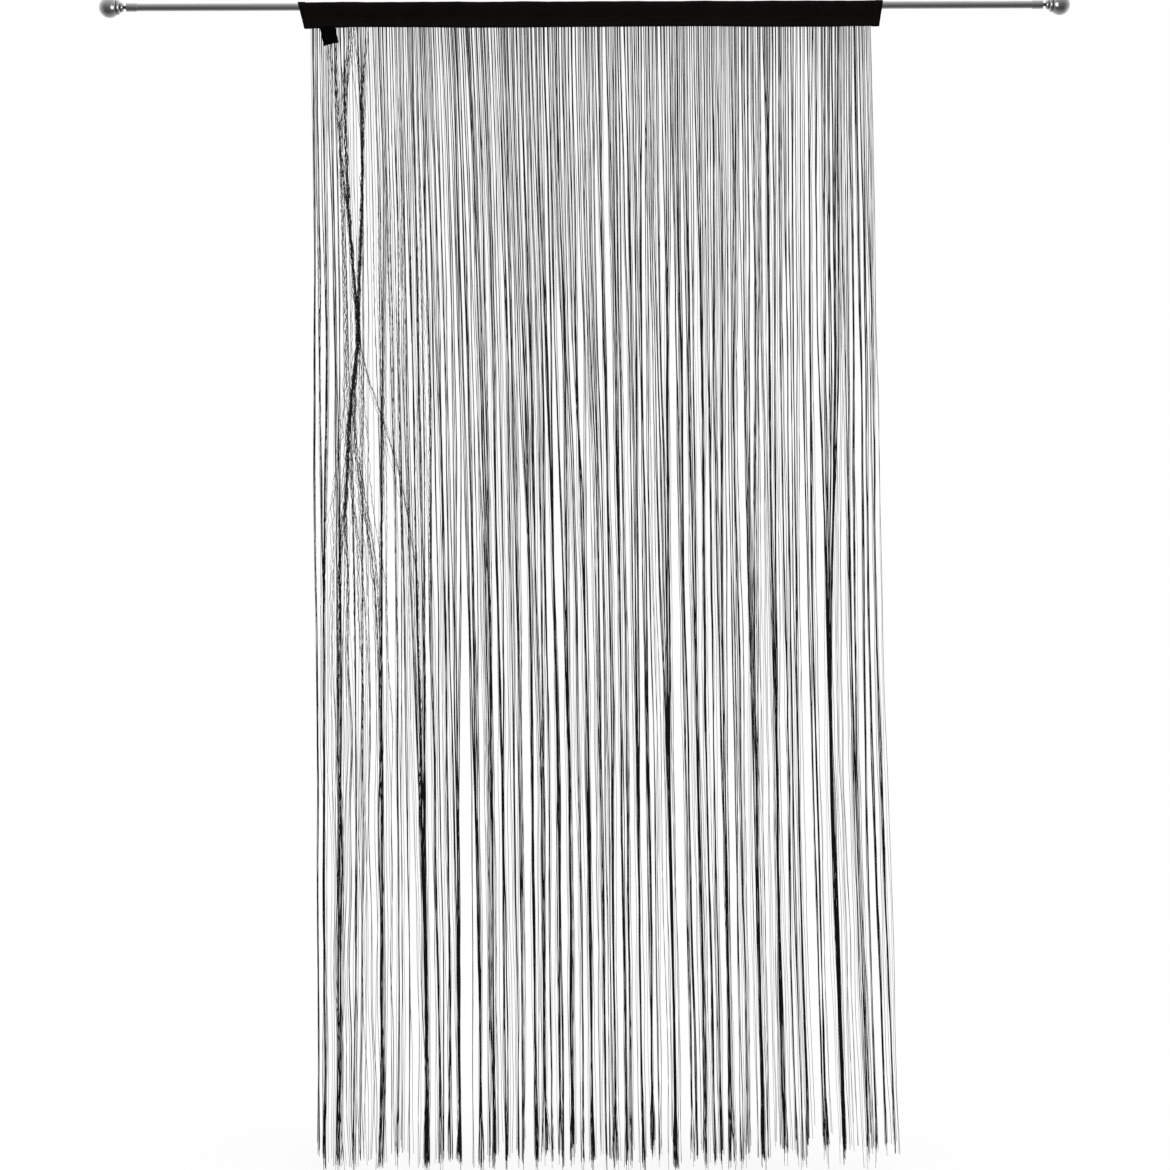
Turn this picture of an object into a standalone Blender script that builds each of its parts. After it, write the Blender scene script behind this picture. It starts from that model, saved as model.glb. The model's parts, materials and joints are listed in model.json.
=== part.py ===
"""A string curtain on its rod: a cloth sleeve on a straight metal tube, with cut strings hanging from its hem.

Metres, +Z up. X runs along the rod, the room side is -Y, and the origin is on the rod's axis at mid length.
"""

import math

import bmesh
import bpy

# The gap between pieces that touch on the real curtain
SEAT_GAP = 0.0003

# Rod: a drawn steel tube with a tapped cap over each end
ROD_SPAN = 1.572
ROD_DIAMETER = 0.013
ROD_WALL = 0.0010
CAP_WALL = 0.0006
CAP_LENGTH = 0.018
CAP_END_WALL = 0.003
CAP_PLUG_LENGTH = 0.012
CAP_EDGE_ROUND = 0.0008

# Finial: a hollow ball on a turned collar, screwed to the cap by a stud
STUD_DIAMETER = 0.006
STUD_CHAMFER = 0.0006
STUD_IN_CAP = 0.012
STUD_SHOWN = 0.0042
STUD_IN_COLLAR = 0.012
COLLAR_LIP = 0.0007
SMALL_RING_ROUND = 0.0046
GROOVE_WIDTH = 0.0012
GROOVE_DEPTH = 0.0024
LARGE_RING_SETBACK = 0.0008
LARGE_RING_ROUND = 0.0054
NECK_WIDTH = 0.0015
NECK_DEPTH = 0.0022
SPIGOT_DIAMETER = 0.018
SPIGOT_LENGTH = 0.005
BALL_DIAMETER = 0.036
BALL_WALL = 0.0015
BALL_MOUTH_SHARE = 0.76

# Sleeve: one band of cloth folded over the rod, with its two edges sewn together above the hem
CURTAIN_LENGTH = 2.000
SLEEVE_WIDTH = 1.003
SLEEVE_HEIGHT = 0.0415
SLEEVE_SHIFT = 0.010
CLOTH = 0.0009
LEFT_SLANT = 0.010
RIGHT_SLANT = 0.006
SIDE_HEM = 0.012
SIDE_HEM_STEP = 0.0006
SEAM_HEIGHT = 0.014
HEM_WAVE = 0.0020
HEM_WAVE_TURNS = 2.3

# Heading tape: the strip in the hem that every string grows from
TAPE_THICKNESS = 0.0008
TAPE_SETBACK = 0.0020

# Strings, in groups that each turn on their own stretch of the tape's cord edge
GROUPS = 20
STRANDS = 22
LEFT_MARGIN = 0.012
RIGHT_MARGIN = 0.0155
CORD_EDGE_RADIUS = 0.0012
STRAND_WIDTH = 0.0011
STRAND_DEPTH = 0.0012
END_SPREAD = 0.030
BUNCH = 0.0048
BUNCH_FIRMNESS_SHARE = 0.25
THREE_BUNDLES_SHARE = 0.4
STAGGER = 0.0009
GROUP_SWAY = 0.0030
LEAN_LEFT = 0.011
LEAN_RIGHT = 0.038
MIDDLE_SHARE = 0.48
MIDDLE_BUNCH_SHARE = 0.40

# Care label: a folded satin tab sewn under the hem near the left end, hanging askew
LABEL_WIDTH = 0.024
LABEL_LENGTH = 0.0315
LABEL_LAYER = 0.00035
LABEL_FOLD_GAP = 0.0003
LABEL_TILT = math.radians(13)
LABEL_INSET = 0.0153
LABEL_DROP = 0.0004

# How finely the round shapes are cut
ROD_SIDES = 24
STUD_SIDES = 12
BALL_STEPS = 9
HOLLOW_STEPS = 5
ROUND_STEPS = 4
FOLD_STEPS = 5
SLEEVE_STATIONS = 18
CORD_EDGE_STEPS = 6
LABEL_FOLD_STEPS = 4

# Places that follow from the sizes above
ROD_RADIUS = ROD_DIAMETER / 2
STUD_RADIUS = STUD_DIAMETER / 2
FOLD_RADIUS = ROD_RADIUS + SEAT_GAP
SLEEVE_TOP = FOLD_RADIUS + CLOTH
HEM_Z = SLEEVE_TOP - SLEEVE_HEIGHT
SEAM_INSIDE = TAPE_THICKNESS / 2 + SEAT_GAP
AXIS_Z = HEM_Z - SEAT_GAP - CORD_EDGE_RADIUS
STRING_END_Z = SLEEVE_TOP - CURTAIN_LENGTH
STRINGS_LEFT = -SLEEVE_WIDTH / 2 + LEFT_SLANT + LEFT_MARGIN
STRINGS_RIGHT = SLEEVE_WIDTH / 2 - RIGHT_SLANT - RIGHT_MARGIN
LANE = (STRINGS_RIGHT - STRINGS_LEFT) / GROUPS
LABEL_THICKNESS = 2 * LABEL_LAYER + LABEL_FOLD_GAP
LABEL_Y = -(CORD_EDGE_RADIUS + SEAT_GAP + LABEL_THICKNESS / 2)


def clear_scene():
    """Removes whatever the file opened with."""
    for obj in list(bpy.data.objects):
        bpy.data.objects.remove(obj)


def finish(name, colour, roughness, metallic):
    """A plain Principled material."""
    material = bpy.data.materials.new(name)
    material.use_nodes = True
    shader = material.node_tree.nodes["Principled BSDF"]
    shader.inputs["Base Color"].default_value = (*colour, 1)
    shader.inputs["Roughness"].default_value = roughness
    shader.inputs["Metallic"].default_value = metallic
    return material


def carrier(name, location, parent=None, turn=0):
    """An empty that carries pieces, standing on their joint's axis."""
    empty = bpy.data.objects.new(name, None)
    empty.location = location
    empty.rotation_euler = (0, 0, turn)
    empty.parent = parent
    bpy.context.scene.collection.objects.link(empty)
    return empty


def piece(name, shape, material, parent=None, location=(0, 0, 0), sharp_angle=math.radians(35)):
    """Turns a bmesh into one named object with its faces pointing out."""
    bmesh.ops.recalc_face_normals(shape, faces=shape.faces)
    mesh = bpy.data.meshes.new(name)
    shape.to_mesh(mesh)
    shape.free()
    mesh.shade_smooth()
    mesh.set_sharp_from_angle(angle=sharp_angle)
    mesh.materials.append(material)
    obj = bpy.data.objects.new(name, mesh)
    obj.location = location
    obj.parent = parent
    bpy.context.scene.collection.objects.link(obj)
    return obj


def arc(centre, radius, start, end, steps):
    """Points on a circle, from one angle to another, both ends included."""
    angles = [start + (end - start) * step / steps for step in range(steps + 1)]
    return [(centre[0] + radius * math.cos(a), centre[1] + radius * math.sin(a)) for a in angles]


def turned(profile, sides):
    """A closed outline of (x, radius) points turned about the X axis."""
    shape = bmesh.new()
    rings = []
    for x, radius in profile:
        angles = [2 * math.pi * side / sides for side in range(sides if radius > 0 else 1)]
        rings.append([shape.verts.new((x, radius * math.cos(a), radius * math.sin(a))) for a in angles])
    for ring, following in zip(rings, rings[1:] + rings[:1]):
        if len(ring) == len(following) == 1:
            continue
        for side in range(sides):
            corners = [
                ring[side % len(ring)],
                ring[(side + 1) % len(ring)],
                following[(side + 1) % len(following)],
                following[side % len(following)],
            ]
            shape.faces.new(list(dict.fromkeys(corners)))
    return shape


def swept(ends):
    """A solid between two outlines with the same number of points."""
    shape = bmesh.new()
    first, last = [[shape.verts.new(point) for point in end] for end in ends]
    shape.faces.new(first)
    shape.faces.new(last)
    for n in range(len(first)):
        following = (n + 1) % len(first)
        shape.faces.new((first[n], first[following], last[following], last[n]))
    return shape


def add_rod(metal):
    """The tube, which stops short of the caps' end walls."""
    half = ROD_SPAN / 2 - CAP_END_WALL - SEAT_GAP
    inside = ROD_RADIUS - ROD_WALL
    outline = [(-half, inside), (-half, ROD_RADIUS), (half, ROD_RADIUS), (half, inside)]
    piece("rod_tube", turned(outline, ROD_SIDES), metal)


def add_cap(side, metal, parent):
    """A sleeve over the tube's end, with a tapped plug inside the tube. Local X points out of the rod's end."""
    inside = ROD_RADIUS + SEAT_GAP
    outer = inside + CAP_WALL
    lip = CAP_WALL / 2
    plug = ROD_RADIUS - ROD_WALL - SEAT_GAP
    thread = STUD_RADIUS + SEAT_GAP
    plug_end = -CAP_END_WALL - CAP_PLUG_LENGTH
    outline = [(-CAP_END_WALL, inside), (-CAP_LENGTH, inside), (-CAP_LENGTH, outer - lip), (-CAP_LENGTH + lip, outer)]
    outline += arc((-CAP_EDGE_ROUND, outer - CAP_EDGE_ROUND), CAP_EDGE_ROUND, math.pi / 2, 0, ROUND_STEPS)
    outline += [(0, thread), (plug_end, thread), (plug_end, plug), (-CAP_END_WALL, plug)]
    piece(f"rod_end_cap_{side}", turned(outline, ROD_SIDES), metal, parent)


def add_finial(side, metal, dark_metal, parent):
    """Stud, collar and ball. Local X points away from the rod, from the cap's outer face."""
    stud_end = STUD_SHOWN + STUD_IN_COLLAR
    tip = STUD_RADIUS - STUD_CHAMFER
    outline = [(-STUD_IN_CAP, 0), (-STUD_IN_CAP, tip), (-STUD_IN_CAP + STUD_CHAMFER, STUD_RADIUS)]
    outline += [(stud_end - STUD_CHAMFER, STUD_RADIUS), (stud_end, tip), (stud_end, 0)]
    piece(f"finial_stud_{side}", turned(outline, STUD_SIDES), dark_metal, parent)

    bore = STUD_RADIUS + SEAT_GAP
    small_foot = bore + COLLAR_LIP
    small_radius = small_foot + SMALL_RING_ROUND
    small_end = STUD_SHOWN + SMALL_RING_ROUND
    large_start = small_end + GROOVE_WIDTH
    large_foot = small_radius - LARGE_RING_SETBACK
    large_radius = large_foot + LARGE_RING_ROUND
    large_end = large_start + LARGE_RING_ROUND
    mouth = large_end + NECK_WIDTH
    spigot_end = mouth + SPIGOT_LENGTH
    outline = arc((small_end, small_foot), SMALL_RING_ROUND, math.pi, math.pi / 2, ROUND_STEPS)
    outline += [(small_end, small_radius - GROOVE_DEPTH), (large_start, small_radius - GROOVE_DEPTH)]
    outline += arc((large_end, large_foot), LARGE_RING_ROUND, math.pi, math.pi / 2, ROUND_STEPS)
    outline += [(large_end, large_radius - NECK_DEPTH), (mouth - SEAT_GAP, large_radius - NECK_DEPTH)]
    outline += [(mouth - SEAT_GAP, SPIGOT_DIAMETER / 2), (spigot_end, SPIGOT_DIAMETER / 2), (spigot_end, 0)]
    outline += [(stud_end + SEAT_GAP, 0), (stud_end + SEAT_GAP, bore), (STUD_SHOWN, bore)]
    piece(f"finial_collar_{side}", turned(outline, ROD_SIDES), metal, parent)

    radius = BALL_DIAMETER / 2
    hollow = radius - BALL_WALL
    hole = SPIGOT_DIAMETER / 2 + SEAT_GAP
    mouth_angle = math.pi - math.asin(BALL_MOUTH_SHARE)
    centre = mouth - radius * math.cos(mouth_angle)
    inner_angle = math.acos((mouth + BALL_WALL - centre) / hollow)
    outline = [(mouth, hole)] + arc((centre, 0), radius, mouth_angle, 0, BALL_STEPS)[:-1]
    outline += [(centre + radius, 0), (centre + hollow, 0)]
    outline += arc((centre, 0), hollow, 0, inner_angle, HOLLOW_STEPS)[1:] + [(mouth + BALL_WALL, hole)]
    piece(f"finial_ball_{side}", turned(outline, ROD_SIDES), metal, parent)


def fold_line(radius, seam_y, hem_z):
    """One face of the folded cloth as (y, z) points: up the room side, over the rod and down the back."""
    seam_z = HEM_Z + SEAM_HEIGHT
    reach = math.hypot(seam_y, seam_z)
    leaves = math.atan2(seam_z, -seam_y) % (2 * math.pi) - math.acos(radius / reach)
    over = arc((0, 0), radius, leaves, math.pi / 2, FOLD_STEPS)
    room_side = [(-seam_y, hem_z), (-seam_y, seam_z)] + over
    return room_side + [(-y, z) for y, z in reversed(room_side[:-1])]


def sleeve_end_x(share, z):
    """Where a station of the sleeve lies at height z, for its share of the width. Both ends lean in."""
    down = (SLEEVE_TOP - z) / SLEEVE_HEIGHT
    left = -SLEEVE_WIDTH / 2 + LEFT_SLANT * down
    right = SLEEVE_WIDTH / 2 - RIGHT_SLANT * down
    return left + (right - left) * share


def hem_lift(share):
    """How far the hem's edge rises over the tape's, for a share of the way along the sleeve."""
    wave = math.sin(2 * math.pi * HEM_WAVE_TURNS * share) * math.sin(math.pi * share)
    return HEM_WAVE * (1 + wave) / 2


def add_sleeve(cloth, parent):
    """The folded band, thicker where its ends are turned in and stitched."""
    hem = SIDE_HEM / SLEEVE_WIDTH
    single = hem + SIDE_HEM_STEP / SLEEVE_WIDTH
    between = [single + (1 - 2 * single) * n / SLEEVE_STATIONS for n in range(SLEEVE_STATIONS + 1)]
    stations = [(0, 2), (hem, 2)] + [(share, 1) for share in between] + [(1 - hem, 2), (1, 2)]
    shape = bmesh.new()
    rings = []
    for share, layers in stations:
        hem_z = HEM_Z + hem_lift(share)
        inner = fold_line(FOLD_RADIUS, SEAM_INSIDE, hem_z)
        outer = fold_line(FOLD_RADIUS + layers * CLOTH, SEAM_INSIDE + layers * CLOTH, hem_z)
        rings.append([shape.verts.new((sleeve_end_x(share, z), y, z)) for y, z in outer + inner[::-1]])
    count = len(rings[0])
    for ring, following in zip(rings, rings[1:]):
        for n in range(count):
            shape.faces.new((ring[n], ring[(n + 1) % count], following[(n + 1) % count], following[n]))
    for ring in (rings[0], rings[-1]):
        for n in range(count // 2 - 1):
            shape.faces.new((ring[n], ring[n + 1], ring[count - 2 - n], ring[count - 1 - n]))
    piece("header_sleeve", shape, cloth, parent)


def add_tape(cloth, parent):
    """The strip between the sleeve's two sewn edges."""
    half = TAPE_THICKNESS / 2
    top = HEM_Z + SEAM_HEIGHT - TAPE_SETBACK
    section = [(-half, HEM_Z), (half, HEM_Z), (half, top), (-half, top)]
    ends = [[(x, y, z) for y, z in section] for x in (STRINGS_LEFT, STRINGS_RIGHT)]
    piece("heading_tape", swept(ends), cloth, parent)


def uneven(number):
    """A steady scatter from 0 to 1, the same on every run: the fractions of the golden ratio's multiples."""
    return number * (math.sqrt(5) - 1) / 2 % 1


def strand_line(group, strand):
    """The line of one strand from the cord edge to its cut end, as points in the group's own frame."""
    across = (strand + 0.5) / STRANDS
    root_x = (across - 0.5) * (LANE - SEAT_GAP)
    bundles = 3 if uneven(group) < THREE_BUNDLES_SHARE else 2
    firmness = 1 - BUNCH_FIRMNESS_SHARE * (1 - math.cos(group))
    bunch = BUNCH / bundles * firmness * math.sin(2 * math.pi * bundles * across)
    stagger = STAGGER * (1 - 2 * (strand % 2))
    sway = GROUP_SWAY * math.sin(2 * group)
    lean = LEAN_LEFT + (LEAN_RIGHT - LEAN_LEFT) * ((group + across) / GROUPS) ** 2
    root_z = -CORD_EDGE_RADIUS
    end_z = STRING_END_Z - AXIS_Z + END_SPREAD * uneven(group * STRANDS + strand)
    middle_z = root_z + (end_z - root_z) * MIDDLE_SHARE
    middle_x = root_x + bunch * MIDDLE_BUNCH_SHARE + lean * MIDDLE_SHARE
    return [
        (root_x, 0, root_z),
        (middle_x, stagger + sway * MIDDLE_SHARE, middle_z),
        (root_x + bunch + lean, stagger + sway, end_z),
    ]


def strand_ring(shape, centre, flipped):
    """A strand's three corners: left and right on one side of the tape and the tip on the other."""
    x, y, z = centre
    base = STRAND_DEPTH / 2 if flipped else -STRAND_DEPTH / 2
    left = shape.verts.new((x - STRAND_WIDTH / 2, y + base, z))
    right = shape.verts.new((x + STRAND_WIDTH / 2, y + base, z))
    tip = shape.verts.new((x, y - base, z))
    return left, right, tip


def add_strings(group, yarn, parent):
    """A stretch of cord edge with its strands growing out of its flat underside, as one closed body."""
    shape = bmesh.new()
    half = (LANE - SEAT_GAP) / 2
    below = math.acos(STRAND_DEPTH / 2 / CORD_EDGE_RADIUS) / 2
    edge = arc((0, 0), CORD_EDGE_RADIUS, math.pi + below, -below, CORD_EDGE_STEPS)
    section = [(-STRAND_DEPTH / 2, -CORD_EDGE_RADIUS)] + edge + [(STRAND_DEPTH / 2, -CORD_EDGE_RADIUS)]
    ends = [[shape.verts.new((x, y, z)) for y, z in section] for x in (-half, half)]

    room_chain, back_chain = [ends[0][0]], [ends[0][-1]]
    for strand in range(STRANDS):
        flipped = strand % 2 == 1
        rings = [strand_ring(shape, centre, flipped) for centre in strand_line(group, strand)]
        left, right, tip = rings[0]
        room, back = ([tip], [left, right]) if flipped else ([left, right], [tip])
        shape.faces.new((room_chain[-1], room[0], back[0], back_chain[-1]))
        room_chain += room
        back_chain += back
        for ring, following in zip(rings, rings[1:]):
            for n in range(3):
                shape.faces.new((ring[n], ring[(n + 1) % 3], following[(n + 1) % 3], following[n]))
        shape.faces.new(rings[-1])
    shape.faces.new((room_chain[-1], ends[1][0], ends[1][-1], back_chain[-1]))

    shape.faces.new(room_chain + [ends[1][0], ends[1][1], ends[0][1]])
    shape.faces.new(back_chain + [ends[1][-1], ends[1][-2], ends[0][-2]])
    for n in range(1, len(section) - 2):
        shape.faces.new((ends[0][n], ends[0][n + 1], ends[1][n + 1], ends[1][n]))
    for end in ends:
        shape.faces.new(end)
    place = (STRINGS_LEFT + LANE * (group + 0.5), 0, AXIS_Z)
    piece(f"strings_{group + 1:02d}", shape, yarn, parent, place)


def add_label(satin, parent):
    """The folded tab: a front and a back layer joined by a round fold, cut level at the top and hanging askew."""
    outer = LABEL_THICKNESS / 2
    inner = outer - LABEL_LAYER
    fold = LABEL_LENGTH - outer
    ends = []
    for width in (0, LABEL_WIDTH):
        top = width * math.tan(LABEL_TILT)
        outside = [(-outer, top)] + arc((0, fold), outer, math.pi, 0, LABEL_FOLD_STEPS) + [(outer, top)]
        inside = [(inner, top)] + arc((0, fold), inner, 0, math.pi, LABEL_FOLD_STEPS) + [(-inner, top)]
        across = (width * math.cos(LABEL_TILT), width * math.sin(LABEL_TILT))
        down = (math.sin(LABEL_TILT), -math.cos(LABEL_TILT))
        section = outside + inside
        ends.append([(across[0] + down[0] * s, y, across[1] + down[1] * s) for y, s in section])
    place = (STRINGS_LEFT + LABEL_INSET, LABEL_Y, AXIS_Z - LABEL_DROP)
    piece("care_label", swept(ends), satin, parent, place)


def least_strand_gap():
    """The least free distance between two near strands of a group, measured at forty heights."""
    least = math.inf
    for group in range(GROUPS):
        lines = [strand_line(group, strand) for strand in range(STRANDS)]
        for first, second in [(n, n + step) for step in (1, 2) for n in range(STRANDS - step)]:
            for share in [step / 40 for step in range(41)]:
                one, other = (point_at(lines[n], share) for n in (first, second))
                apart = max(abs(one[0] - other[0]) - STRAND_WIDTH, abs(one[1] - other[1]) - STRAND_DEPTH)
                least = min(least, apart)
    return least


def point_at(line, share):
    """The (x, y) of a strand's line, half of the shares above its middle point and half below."""
    start, end = (line[0], line[1]) if share < 0.5 else (line[1], line[2])
    part = share * 2 if share < 0.5 else share * 2 - 1
    return [start[n] + (end[n] - start[n]) * part for n in range(2)]


def build():
    """The whole curtain."""
    clear_scene()
    nickel = finish("satin_nickel", (0.42, 0.42, 0.43), 0.32, 1)
    steel = finish("plain_steel", (0.30, 0.30, 0.31), 0.45, 1)
    cloth = finish("black_woven_cloth", (0.007, 0.006, 0.006), 0.85, 0)
    knit = finish("black_knitted_tape", (0.008, 0.008, 0.008), 0.85, 0)
    yarn = finish("black_string", (0.010, 0.010, 0.011), 0.60, 0)
    satin = finish("black_satin", (0.003, 0.003, 0.003), 0.50, 0)

    add_rod(nickel)
    for side, direction, turn in (("left", -1, math.pi), ("right", 1, 0)):
        cap_face = carrier(f"rod_{side}_end", (direction * ROD_SPAN / 2, 0, 0), turn=turn)
        add_cap(side, nickel, cap_face)
        add_finial(side, nickel, steel, carrier(f"finial_{side}", (0, 0, 0), cap_face))
    header = carrier("header", (SLEEVE_SHIFT, 0, 0))
    add_sleeve(cloth, header)
    add_tape(knit, header)
    for group in range(GROUPS):
        add_strings(group, yarn, header)
    add_label(satin, header)
    print(f"least gap between two strands {1000 * least_strand_gap():.2f} mm")


build()
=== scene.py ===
# %% [markdown]
# # A string curtain on its rod
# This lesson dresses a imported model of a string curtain: a straight metal rod with ball finials, a black cloth
# sleeve folded over it, and a fringe of fine strings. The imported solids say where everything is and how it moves.
# Each cell makes one piece or one finish, and says why it was made that way.

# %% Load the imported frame
import json
import math
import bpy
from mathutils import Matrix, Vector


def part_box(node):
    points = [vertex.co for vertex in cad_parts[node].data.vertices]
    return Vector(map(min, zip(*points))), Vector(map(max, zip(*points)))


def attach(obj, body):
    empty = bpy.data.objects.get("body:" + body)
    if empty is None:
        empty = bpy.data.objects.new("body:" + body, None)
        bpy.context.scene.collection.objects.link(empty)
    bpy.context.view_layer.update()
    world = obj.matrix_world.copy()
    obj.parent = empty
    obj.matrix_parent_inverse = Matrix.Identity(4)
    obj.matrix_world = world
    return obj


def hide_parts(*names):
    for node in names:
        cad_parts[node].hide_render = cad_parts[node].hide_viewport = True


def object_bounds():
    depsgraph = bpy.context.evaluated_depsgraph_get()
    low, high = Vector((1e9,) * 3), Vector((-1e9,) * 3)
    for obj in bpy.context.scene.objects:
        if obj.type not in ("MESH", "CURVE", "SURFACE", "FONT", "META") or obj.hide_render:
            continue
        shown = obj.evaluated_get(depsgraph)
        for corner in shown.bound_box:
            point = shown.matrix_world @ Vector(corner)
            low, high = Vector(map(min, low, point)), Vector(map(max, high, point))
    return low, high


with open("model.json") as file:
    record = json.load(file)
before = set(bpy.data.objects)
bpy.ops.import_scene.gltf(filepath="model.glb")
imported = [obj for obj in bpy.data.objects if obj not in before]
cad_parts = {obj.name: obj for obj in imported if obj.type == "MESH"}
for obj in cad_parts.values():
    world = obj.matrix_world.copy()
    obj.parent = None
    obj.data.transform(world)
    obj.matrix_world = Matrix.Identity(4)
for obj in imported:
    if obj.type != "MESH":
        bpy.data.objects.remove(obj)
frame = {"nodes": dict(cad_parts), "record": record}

from types import SimpleNamespace

import bmesh
import bpy
import numpy as np
from mathutils import Vector

cad_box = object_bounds()
print("packed solids from", [round(v, 4) for v in cad_box[0]], "to", [round(v, 4) for v in cad_box[1]])

# %% [markdown]
# ## Where things are
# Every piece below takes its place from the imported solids. Reading them here keeps the pieces on the solids when a
# size changes.

# %% Read the places from the solids
SEAM_ABOVE_HEM = 0.014

rod_low, rod_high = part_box("rod_tube")
rod_radius = (rod_high.z - rod_low.z) / 2
tape_low, tape_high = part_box("heading_tape")
sleeve_low, sleeve_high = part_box("header_sleeve")
places = {joint["name"]: joint.get("pos_m") for joint in frame["record"]["behaviour"]["joints"]}
hinge_z = places["swing_01"][2]
lanes = sorted(name for name in frame["nodes"] if name.startswith("strings_"))
strings_left, strings_right = tape_low.x, tape_high.x
lane_width = (strings_right - strings_left) / len(lanes)
hem_z = tape_low.z
seam_z = hem_z + SEAM_ABOVE_HEM
print(len(lanes), "string groups, each", round(1000 * lane_width, 1), "mm wide, hung at", round(1000 * hinge_z, 1))

# %% [markdown]
# ## The camera
# The picture is a flat, frontal one with the rod along its top edge, so the camera stands level with the middle of
# the curtain. A long lens from five metres keeps the strings parallel. One pixel of the 1170 pixel picture is
# 1.715 mm at the curtain. The rod climbs a sixth of a degree to the right, which a small roll of the camera gives.

# %% Place the camera
IMAGE_PIXELS = 1170
METRES_PER_PIXEL = 0.001715
VIEW_WIDTH = IMAGE_PIXELS * METRES_PER_PIXEL
CAMERA_X, CAMERA_Z, CAMERA_DISTANCE = -0.0023, -0.993, 5.0
CAMERA_ROLL = math.radians(0.18)

camera_data = bpy.data.cameras.new("camera")
camera_data.sensor_width = 36
camera_data.lens = camera_data.sensor_width * CAMERA_DISTANCE / VIEW_WIDTH
camera = bpy.data.objects.new("camera", camera_data)
camera.location = (CAMERA_X, -CAMERA_DISTANCE, CAMERA_Z)
camera.rotation_euler = (math.pi / 2, CAMERA_ROLL, 0)
bpy.context.scene.collection.objects.link(camera)
bpy.context.scene.camera = camera
bpy.context.scene.view_settings.view_transform = "Standard"
print("lens", round(camera_data.lens, 1), "mm")

# %% [markdown]
# ## Node shorthand
# Materials and geometry trees are both graphs of nodes. One helper makes a node, sets its options and either links
# or fills its inputs, so that each graph below reads from top to bottom like a recipe. `group` starts a tree with
# named inputs and outputs, and `close` links its results to them.


# %% Define the node helpers
def fill(tree, socket, value):
    """Links a socket to another node's output, or gives it a plain value."""
    if isinstance(value, bpy.types.NodeSocket):
        tree.links.new(value, socket)
    else:
        socket.default_value = value


def node(tree, kind, inputs=None, **settings):
    made = tree.nodes.new(kind)
    for name, value in settings.items():
        setattr(made, name, value)
    for name, value in (inputs or {}).items():
        fill(tree, made.inputs[name], value)
    return made


def maths(tree, operation, first, second=0.0):
    return node(tree, "ShaderNodeMath", {0: first, 1: second}, operation=operation).outputs[0]


def vector_maths(tree, operation, inputs):
    made = node(tree, "ShaderNodeVectorMath", inputs, operation=operation)
    return made.outputs["Value" if operation == "LENGTH" else "Vector"]


def blend_colour(tree, share, first, second):
    """Mixes two colours. A Mix node takes them at its sockets 6 and 7, and gives the result at its output 2."""
    mix = node(tree, "ShaderNodeMix", {"Factor": share}, data_type="RGBA")
    for place, colour in ((6, first), (7, second)):
        fill(tree, mix.inputs[place], colour if isinstance(colour, bpy.types.NodeSocket) else (*colour, 1))
    return mix.outputs[2]


def spread(tree, value, low, high, out_low, out_high):
    """Stretches a value that runs from low to high until it runs from out_low to out_high."""
    limits = {"Value": value, "From Min": low, "From Max": high, "To Min": out_low, "To Max": out_high}
    return node(tree, "ShaderNodeMapRange", limits).outputs["Result"]


def group(name, kind, inputs, outputs):
    tree = bpy.data.node_groups.new(name, kind)
    for label, socket_type, value in inputs:
        socket = tree.interface.new_socket(label, in_out="INPUT", socket_type=socket_type)
        if value is not None:
            socket.default_value = value
    for label, socket_type in outputs:
        tree.interface.new_socket(label, in_out="OUTPUT", socket_type=socket_type)
    return tree, node(tree, "NodeGroupInput").outputs, node(tree, "NodeGroupOutput")


def close(tree, sink, values):
    for label, value in values.items():
        tree.links.new(value, sink.inputs[label])


print("node helpers ready")

# %% [markdown]
# ## Light and surroundings
# The picture is cut out on pure white. The white comes from the world and the floor as the camera sees them, not
# from more light on the object. Metal shows its surroundings, and in the picture the rod is bright along its edges,
# which mirror the white behind it, and dark along its middle, which mirrors the room. So rays that leave a glossy
# surface meet a world that goes from dark grey in front to white behind.

# %% Build the world
SOFT_LIGHT, WHITE = (0.62, 0.62, 0.64), (1, 1, 1)
FRONT_GREY, ABOVE_GREY, BEHIND_WHITE = 0.13, 0.56, 0.95

world = bpy.data.worlds.new("white_studio")
bpy.context.scene.world = world
world.use_nodes = True
sky = world.node_tree
sky.nodes.clear()
direction = node(sky, "ShaderNodeTexCoord").outputs["Generated"]
split = node(sky, "ShaderNodeSeparateXYZ", {0: direction})
behind = spread(sky, split.outputs["Y"], -0.75, 0.9, 0.0, BEHIND_WHITE)
above = spread(sky, split.outputs["Z"], -0.1, 1.0, FRONT_GREY, ABOVE_GREY)
mirrored = maths(sky, "ADD", maths(sky, "POWER", behind, 1.5), above)
rays = node(sky, "ShaderNodeLightPath").outputs
seen = maths(sky, "MAXIMUM", rays["Is Camera Ray"], rays["Is Transmission Ray"])
lit = blend_colour(sky, rays["Is Glossy Ray"], SOFT_LIGHT, mirrored)
shown = blend_colour(sky, seen, lit, WHITE)
backdrop = node(sky, "ShaderNodeBackground", {"Color": shown, "Strength": 1.0})
node(sky, "ShaderNodeOutputWorld", {"Surface": backdrop.outputs[0]})
print("world ready")

# %% [markdown]
# A wide lamp above and in front gives soft light from the top. It is hidden from glossy rays, so that it puts no
# stripe along the rod's dark middle. The round lamp close in front gives each ball its one bright spot.


# %% Hang the lamps
def lamp(name, place, aim, size, power, only_in_metal):
    data = bpy.data.lights.new(name, "AREA")
    data.shape, data.size, data.energy = "DISK", size, power
    obj = bpy.data.objects.new(name, data)
    obj.location = place
    obj.rotation_euler = (Vector(aim) - Vector(place)).to_track_quat("-Z", "Y").to_euler()
    obj.visible_camera = False
    obj.visible_glossy, obj.visible_diffuse = only_in_metal, not only_in_metal
    bpy.context.scene.collection.objects.link(obj)


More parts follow.
